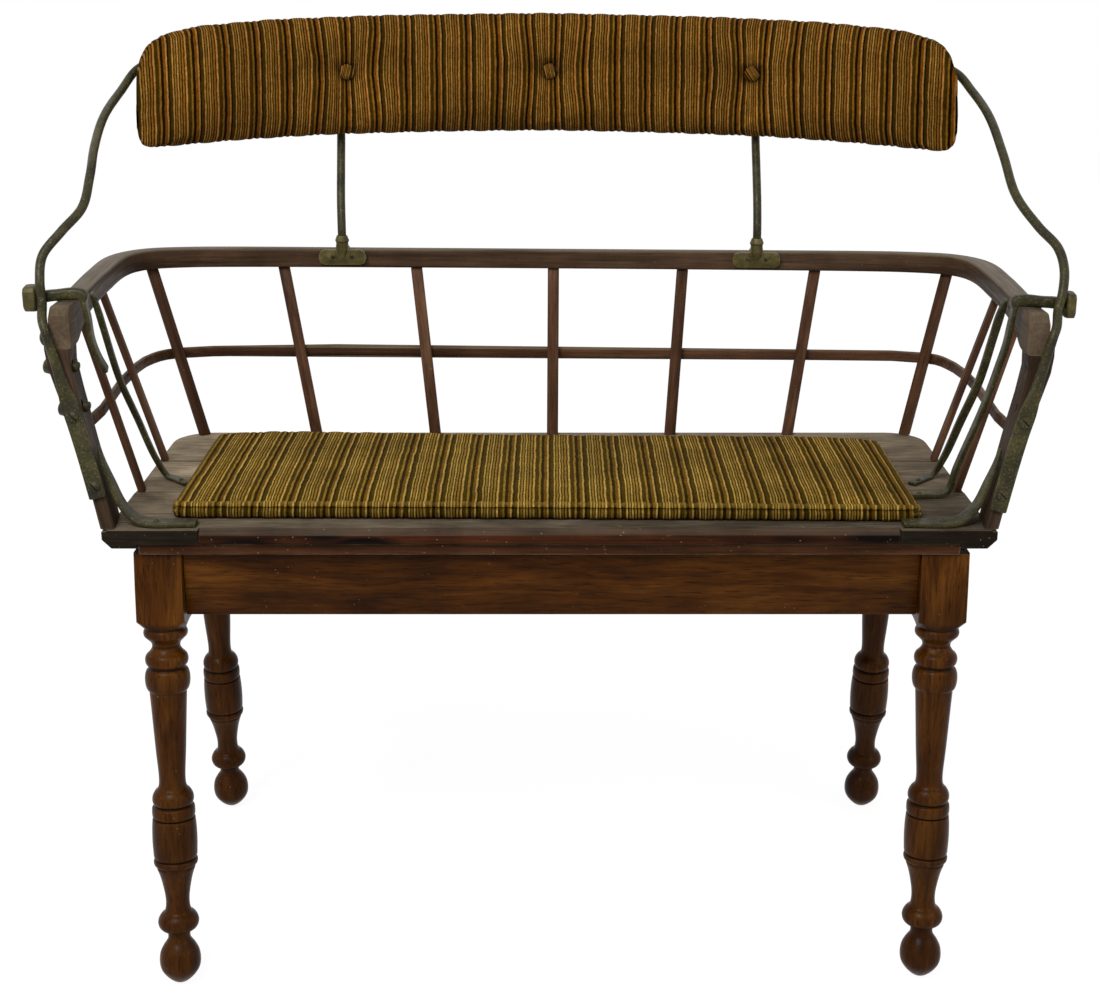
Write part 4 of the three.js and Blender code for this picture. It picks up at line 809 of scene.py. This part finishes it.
def plumped(grid, held, pressure, furthest):
    """The grid after it is blown up a little as cloth, with the held places pinned."""
    rows, columns = grid.shape[:2]
    mesh = closed_mesh("plumping", grid.reshape(-1, 3), grid_faces(rows, columns))
    body = bpy.data.objects.new("plumping", mesh)
    scene.collection.objects.link(body)
    pins = body.vertex_groups.new(name="held")
    pins.add(np.flatnonzero(held.ravel()).tolist(), 1.0, "REPLACE")
    cloth = body.modifiers.new("cloth", "CLOTH")
    cloth.settings.vertex_group_mass = "held"
    cloth.settings.quality = 6
    cloth.settings.tension_stiffness = 18
    cloth.settings.compression_stiffness = 12
    cloth.settings.bending_stiffness = 0.6
    cloth.settings.use_pressure = True
    cloth.settings.uniform_pressure_force = pressure
    cloth.settings.effector_weights.gravity = 0
    cloth.collision_settings.use_collision = False
    for count in range(1, cloth_frames + 1):
        scene.frame_set(count)
    settled = body.evaluated_get(bpy.context.evaluated_depsgraph_get()).data
    moved = np.empty(len(settled.vertices) * 3)
    settled.vertices.foreach_get("co", moved)
    scene.frame_set(1)
    shift = moved.reshape(rows, columns, 3) - grid
    far = np.linalg.norm(shift, axis=2, keepdims=True)
    bpy.data.objects.remove(body)
    return grid + shift * np.minimum(1, furthest / np.maximum(far, 1e-9))


def cloth_piece(name, grid, weave, painted_lighting, material, source, body, rib):
    """A cloth cover over a settled grid, whose cords stand proud along its stripes."""
    rows, columns = grid.shape[:2]
    up = np.cross(np.gradient(grid, axis=1), np.gradient(grid, axis=0))
    up /= np.maximum(np.linalg.norm(up, axis=2, keepdims=True), 1e-9)
    centre = grid.mean(axis=0, keepdims=True)
    if np.sum((grid - centre) * up) < 0:
        up = -up
    ribs = np.zeros(weave.shape[:2])
    for low, high in cords:
        phase = (weave[..., 0] - low) % 1
        width = high - low
        hump = np.sqrt(np.clip(1 - (phase / width * 2 - 1) ** 2, 0, 1))
        ribs = np.maximum(ribs, hump * min(1, 0.5 + 1.4 * width))
    shaped = grid + up * (rib * (ribs - 0.8))[..., None]
    made = shown_piece(name, shaped.reshape(-1, 3), grid_faces(rows, columns), material,
                       source, body=body, crease=80)
    with_values(made.data, "weave", weave)
    with_values(made.data, "painted_lighting", painted_lighting)


def domed(across, power=1.0):
    """0 at both ends of 0..1 and full in its middle."""
    return np.sin(math.pi * np.clip(across, 0, 1)).clip(0) ** power


def bell(distance, width, power=2):
    """1 at no distance, falling to nothing a little past the width."""
    return np.exp(-(distance / width) ** power)


columns = np.concatenate([[-1, -0.9985, -0.995, -0.99], np.linspace(-0.984, 0.984, 112),
                          [0.99, 0.995, 0.9985, 1]])
along = columns * back_half + back_shift
top = back_height * np.interp(np.abs(columns), *zip(*back_top))
bottom = back_height * np.interp(np.abs(columns), *zip(*back_bottom))
across = np.sin(np.linspace(-1, 1, 23) * math.pi / 2 * 0.999)[:, None]
rise = bottom + (top - bottom) * (1 + across) / 2
ends = np.sqrt(np.clip(1 - np.abs(columns) ** 10, 0, 1))
edge = np.sqrt(np.clip(1 - np.abs(across) ** 2.6, 0, 1))
places = np.broadcast_to(along, rise.shape)
away = np.min([np.hypot(places - b, rise - button_rise) for b in button_places], axis=0)
depth = pad_depth * (1 - edge_share - (1 - edge_share) * edge * ends)
depth = depth + button_pit * bell(away, pit_width, 4) + button_hollow * bell(away, hollow_width)
rear = [back_point(along, row, pad_depth - 0.0008) for row in (rise[0], rise[-1])]
grid = np.concatenate([rear[0][None], back_point(places, rise, depth), rear[1][None]])
sides = np.concatenate([rise[:1], rise, rise[-1:]])
flat = np.concatenate([places[:1], places, places[-1:]])
girth = np.broadcast_to(run_length(grid[:, 60])[:, None], flat.shape)
held = np.zeros(flat.shape, bool)
held[:1] = held[-1:] = held[:, :2] = held[:, -2:] = True
for b in button_places:
    held |= np.hypot(flat - b, sides - button_rise) < held_radius
grid = plumped(grid, held, pressure=5, furthest=0.005)
pull = sum((flat - b) * bell(flat - b, pull_width) * bell(sides - button_rise, pull_height)
           for b in button_places)
weave = np.stack([(flat + stripe_pull * pull) / back_repeat, flat, girth], axis=-1)
away = np.min([np.hypot(flat - b, sides - button_rise) for b in button_places], axis=0)
# Painted shade darkens the cloth in a ring round each button.
painted_lighting = np.stack([0 * flat, bell(away, shadow_width, 6), 0 * flat], axis=-1)
grid, weave, painted_lighting = [finer(finer(a, 6, 1), 3, 0) for a in (grid, weave, painted_lighting)]
back_cloth = striped_cloth("back_cloth", {
    "olive": (0.03, 0.0142, 0.0005), "gold": (0.138, 0.0635, 0.0075),
    "black": (0.007, 0.003, 0.0003), "brown": (0.098, 0.032, 0.0016),
    "pale": (0.235, 0.116, 0.028), "rust": (0.058, 0.0105, 0.0006),
})
cloth_piece("striped_back_pad", grid, weave, painted_lighting, back_cloth, "back_pad", "frame", 0.0013)


# Buttons: domed wooden moulds covered in the same cloth, each sewn through the pad.
button_radius = 0.0088
button_dome = 0.62
button_wrap = 0.56 * math.pi
turn = full_turn(40)
for i, (side, place) in enumerate(zip(("left", "middle", "right"), button_places)):
    low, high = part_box("back_button_" + side)
    centre = (Vector(low) + Vector(high)) / 2
    outward = Vector((-math.sin(place), -math.cos(place), 0.14)).normalized()
    right = outward.cross(Vector((0, 0, 1))).normalized()
    upward = right.cross(outward)
    tilt = 0.25 - 0.5 * i
    rings, weave = [], []
    for share in np.linspace(0, 1, 15)[1:]:
        radius = button_radius * math.sin(share * button_wrap)
        height = button_radius * button_dome * math.cos(share * button_wrap) - 0.0005
        u, v = radius * np.cos(turn), radius * np.sin(turn)
        rings.append(np.array([centre + right * a + upward * b + outward * height
                               for a, b in zip(u, v)]))
        weave.append(np.stack([(u + tilt * v) / back_repeat * 1.5 + 0.66 + 0.1 * i, u, v], axis=1))
    button = skinned("cloth_button_" + side, rings, back_cloth,
                     "back_button_" + side, crease=80)
    with_values(button.data, "weave", weave)
    with_values(button.data, "painted_lighting", 0 * np.array(weave))


# Seat pad: a loose pad of the same cloth over thin wadding. It lies askew, its sides pull in, and
# a sewn welt runs along its front edge above a ribbed border.
pad_front = ((-0.37522, -0.18312), (0.36678, -0.19412))
pad_rear = ((-0.37622, 0.08988), (0.36878, 0.06188))
pad_length = 0.742
pad_depth_run = 0.265
pad_bow = 0.017
pad_bottom = 0.4933
pad_thickness = 0.0135
pad_crown = 0.0035
edge_sink = 0.13
sink_share = 0.12
pad_repeat = 0.036
loop_pitch = 0.0052
tuft_pitch = 0.0031
border_pitch = 0.0043
corner_round = 0.012
end_round = 0.011
whip_width = 0.006
whip_height = 0.0012
whip_reach = 0.0016
tuft_height = 0.0014
tuft_place = 0.02
tuft_width = 0.016
welt_depth = 0.0016
welt_level = 0.86
# Each row's place from front to back and its level from the pad's bottom to its top.
rear_rows = [(1.0, 0.0), (1.003, 0.3), (1.001, 0.62), (0.993, 0.86), (0.982, 0.97)]
top_rows = [(back, 1.0) for back in np.linspace(0.96, 0.06, 32)]
welt_rows = [(0.045, 1.02), (0.034, 1.1), (0.02, 1.13), (0.008, 1.06), (0.004, 0.93)]
border_rows = [(0.007, 0.84), (-0.002, 0.76), (-0.008, 0.6), (-0.009, 0.42), (-0.007, 0.22),
               (0.0, 0.08), (0.008, 0.0)]


def quarter(share):
    """Rises from 0 to 1 as a quarter circle does, and stays at 1."""
    return np.sqrt(1 - (1 - np.minimum(share, 1)) ** 2)


across = np.concatenate([[0, 0.0015, 0.0045, 0.0085], np.linspace(0.014, 0.986, 92),
                         [0.9915, 0.9955, 0.9985, 1]])
ends = np.minimum(across, 1 - across)
rows = np.array(rear_rows + top_rows + welt_rows + border_rows)
corner = corner_round * (1 - quarter(ends * pad_length / corner_round))
front = (0.002 * np.sin(math.pi * across) + corner) / pad_depth_run
rear = (pad_bow * domed(across, 0.5) - corner) / pad_depth_run
front_edge, rear_edge = [np.outer(1 - across, left) + np.outer(across, right)
                         for left, right in (pad_front, pad_rear)]
grid = []
for back, level in rows:
    kept = (front * (1 - back) + (1 + rear) * back)[:, None]
    place = front_edge * (1 - kept) + rear_edge * kept
    inside = max(min(back, 1 - back), 0)
    height = pad_thickness * level * (0.45 + 0.55 * quarter(ends / end_round))
    height += pad_crown * domed(back, 0.7) * domed(across, 0.5)
    height -= pad_thickness * edge_sink * (1 - min(inside / sink_share, 1)) ** 2 * (level == 1.0)
    grid.append(np.column_stack([place, pad_bottom + height]))
grid = np.array(grid)
back, level = [np.repeat(part[:, None], len(across), axis=1) for part in rows.T]
across = across + 0 * back
held = np.zeros(across.shape, bool)
held[:2] = held[-12:] = held[:, :7] = held[:, -7:] = True
grid = plumped(grid, held, pressure=3, furthest=0.003)
grid[..., 2] = np.maximum(grid[..., 2], pad_bottom)
girth = np.broadcast_to(run_length(grid[:, 50])[:, None], across.shape)
weave = np.stack([across * pad_length / pad_repeat, across * pad_length, girth], axis=-1)
ends = np.minimum(across, 1 - across) * pad_length
grid, weave, ends, back, level = [finer(finer(a, 6, 1), 4, 0)
                                  for a in (grid, weave, ends, back, level)]
run = weave[..., 1]
loops = np.abs(np.sin(math.pi * back * pad_depth_run / loop_pitch))
whipped = bell(ends, whip_width) * (level > 0.5)
tufts = bell(back - tuft_place, tuft_width) * (level > 0.97)
uneven = np.sin(run * 410 + 2 * np.sin(run * 90))
tuft_wave = np.abs(np.sin(math.pi * run / tuft_pitch)) * (0.65 + 0.35 * uneven)
front_face = (level < 0.9) * (back < 0.04)
rib_ends = front_face * np.sin(math.pi * (run + 0.0006 * uneven) / border_pitch) ** 2
under_welt = back < 0.04
# Painted shade along the welt's groove, broken by the tufts.
groove_shade = bell(level - welt_level, 0.06) * under_welt * (0.1 + 0.4 * (1 - tuft_wave))
seam = bell(level - welt_level, 0.09) * under_welt
grid[..., 0] += whip_reach * whipped * loops * np.sign(run - pad_length / 2)
grid[..., 1] -= welt_depth * seam * tuft_wave
grid[..., 2] += whip_height * whipped * loops + tuft_height * tufts * tuft_wave
grid[..., 2] = np.maximum(grid[..., 2], pad_bottom)
# Painted highlight on the raised tufts and loops; painted shade on the front face, between the
# border's ribs and between the loops.
painted_highlight = 0.7 * tufts * tuft_wave + 0.45 * whipped * loops
sunk = groove_shade + 0.2 * front_face + 0.6 * rib_ends + 0.5 * whipped * (1 - loops)
painted_lighting = np.stack([painted_highlight, np.clip(sunk, 0, 1), 0 * ends], axis=-1)
seat_cloth = striped_cloth("seat_cloth", {
    "olive": (0.048, 0.0275, 0.0008), "gold": (0.205, 0.12, 0.018),
    "black": (0.022, 0.0125, 0.0003), "brown": (0.108, 0.053, 0.0042),
    "pale": (0.34, 0.215, 0.052), "rust": (0.062, 0.026, 0.0009),
})
cloth_piece("striped_seat_pad", grid, weave, painted_lighting, seat_cloth, "seat_pad", "pad", 0.0011)


# Screws and bolts: slotted round heads hold the straps, and domed bolt heads stand outside the
# left post and arm. Smaller screws fix the corner irons, brace feet, clips and right bracket.
screw_points = 48
slot_edge = 0.0003
# Radius and height of each kind of head, and how deep it is sunk.
strap_head = (0.0054, 0.003, 0.008)
bolt_head = (0.008, 0.006, 0.012)
inner_nut = (0.0052, 0.0034, 0.003)
pin_head = (0.0042, 0.0016, 0.012)
clip_head = (0.0024, 0.0012, 0.0008)


def slotted_screw(name, centre, outward, head, turn=0.0, source="", slot_half=0.0):
    """A round head on its hidden neck, slotted where its slot has a half width."""
    radius, height, sunk = head
    outward = Vector(outward).normalized()
    first = outward.orthogonal().normalized()
    second = outward.cross(first)
    spin = full_turn(screw_points) + turn
    rings, shade = [], []
    for share in np.linspace(0.04, 1, 16):
        u, v = radius * share * np.cos(spin), radius * share * np.sin(spin)
        rise = height * math.sqrt(1 - (share * 0.92) ** 2)
        cut = np.clip((slot_half + slot_edge - np.abs(u)) / slot_edge, 0, 1) * (slot_half > 0)
        rings.append([np.array(Vector(centre) + first * float(a) + second * float(b)
                               + outward * float(c))
                      for a, b, c in zip(u, v, rise - cut * height * 0.5)])
        shade.extend((cut > 0) * 0.95)
    rings.append([np.array(Vector(p) - outward * (height * 0.4 + sunk)) for p in rings[-1]])
    shade.extend([0.9] * screw_points)
    screw = skinned(name, rings, iron, source, crease=40)
    with_values(screw.data, "shade", shade)


def solid_points(source):
    return np.array([v.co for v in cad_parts[source].data.vertices])


def head_foot(source, outward, height=0.0):
    """The foot of a fastener's head, which is so high over the CAD solid's outer end."""
    points = solid_points(source)
    reach = points @ outward
    return points[reach > reach.max() - 0.0008].mean(axis=0) - outward * height


strap_out = unit(0, -0.98, 0.19)
for i, side in enumerate(("left", "right")):
    for j, level in enumerate(("upper", "lower")):
        source = "strap_screw_%s_%s" % (side, level)
        slotted_screw("slotted_" + source, head_foot(source, strap_out, 0.0022), strap_out,
                      strap_head, 0.6 + 1.1 * i + 0.7 * j, source, slot_half=0.0007)
left_out, right_out = unit(-0.96, 0.1, 0.26), unit(0.96, 0.1, 0.26)
for level, outward in (("upper", left_out), ("lower", left_out), ("top", unit(-1, 0, 0))):
    source = "post_bolt_left_" + level
    slotted_screw("domed_" + source, head_foot(source, outward, 0.006), outward, bolt_head,
                  source=source)
for level in ("upper", "lower"):
    slotted_screw("inner_nut_left_" + level, head_foot("post_bolt_left_" + level, -left_out),
                  -left_out, inner_nut)
    source = "post_bolt_right_" + level
    slotted_screw("plain_" + source, head_foot(source, right_out, 0.006), right_out, pin_head,
                  source=source)
for side in ("left", "right"):
    points = solid_points("prop_clip_" + side)
    middle = (points[:, 0].min() + points[:, 0].max()) / 2
    plate = points[np.abs(points[:, 0] - middle) > 0.014]
    for part, off in (("inner", -0.0105), ("outer", 0.0105)):
        centre = (middle + off, plate[:, 1].min() - 0.0002, plate[:, 2].mean() + 0.0012)
        slotted_screw("clip_screw_%s_%s" % (side, part), centre, (0, -1, 0), clip_head, 90 * off,
                      slot_half=0.0004)
up = (0, 0, 1)
small_screws = [
    ("corner_left_inner", (-0.356, -0.204, 0.4983), up, 0.0034),
    ("corner_left_outer", (-0.386, -0.204, 0.4983), up, 0.0034),
    ("corner_right_inner", (0.356, -0.204, 0.4983), up, 0.0034),
    ("corner_right_outer", (0.386, -0.204, 0.4983), up, 0.0034),
    ("brace_left", (-0.39, -0.0633, 0.4971), up, 0.0027),
    ("brace_right", (0.39, -0.0633, 0.4971), up, 0.0027),
    ("bracket_right", (0.381, -0.1132, 0.4983), up, 0.003),
    ("brace_top_left", (-0.4565, -0.0955, 0.6965), (1, 0, 0.15), 0.003),
    ("brace_top_right", (0.4551, -0.0955, 0.6899), (-1, 0, 0.15), 0.003),
]
for i, (name, centre, outward, radius) in enumerate(small_screws):
    slotted_screw("small_screw_" + name, centre, outward, (radius, 0.0013, 0.001), 0.9 * i,
                  slot_half=0.0005)


# Floor and light: a plain pale floor that fades into a white room, a large soft lamp above the
# front and a weaker one at the side.
floor_half = 6.0
floor_share = 0.85
floor_glow = 1.1
room_light = 0.5


def background_rays(tree):
    """1 for a ray that shows the surroundings: straight, in gloss or through a clear thing."""
    path = tree.nodes.new("ShaderNodeLightPath")
    seen = maths("MAXIMUM", path.outputs["Is Camera Ray"], path.outputs["Is Glossy Ray"])
    return maths("MAXIMUM", seen, path.outputs["Is Transmission Ray"])


mesh = bpy.data.meshes.new("floor")
mesh.from_pydata([(x * floor_half, y * floor_half, 0)
                  for x, y in ((-1, -1), (1, -1), (1, 1), (-1, 1))], [], [(0, 1, 2, 3)])
floor = bpy.data.objects.new("floor", mesh)
scene.collection.objects.link(floor)
pale, tree, shader = finish("pale_floor", 0.9, 0, 0.5)
shader.inputs["Base Color"].default_value = (0.8, 0.8, 0.8, 1)
white = node("Emission", {"Strength": floor_glow}, tree=tree)
shown = node("MixShader", {0: times(background_rays(tree), floor_share), 1: shader.outputs[0],
                           2: white})
feed(tree.nodes["Material Output"], "Surface", shown)
floor.data.materials.append(pale)

room = bpy.data.worlds.new("room")
room.use_nodes = True
tree = room.node_tree
ground = tree.nodes["Background"]
ground.inputs["Color"].default_value = (1, 1, 1, 1)
feed(ground, "Strength", faded(background_rays(tree), 0, 1, room_light, 1))
scene.world = room


def soft_lamp(name, place, target, size, power):
    data = bpy.data.lights.new(name, "AREA")
    data.shape = "DISK"
    data.size = size
    data.energy = power
    lamp = bpy.data.objects.new(name, data)
    lamp.location = place
    lamp.rotation_euler = (Vector(target) - Vector(place)).to_track_quat("-Z", "Y").to_euler()
    scene.collection.objects.link(lamp)


soft_lamp("key_lamp", (-0.9, -1.9, 2.6), (0, 0, 0.5), 1.4, 76)
soft_lamp("side_lamp", (2.2, -1.2, 1.7), (0, 0, 0.5), 1.2, 10)
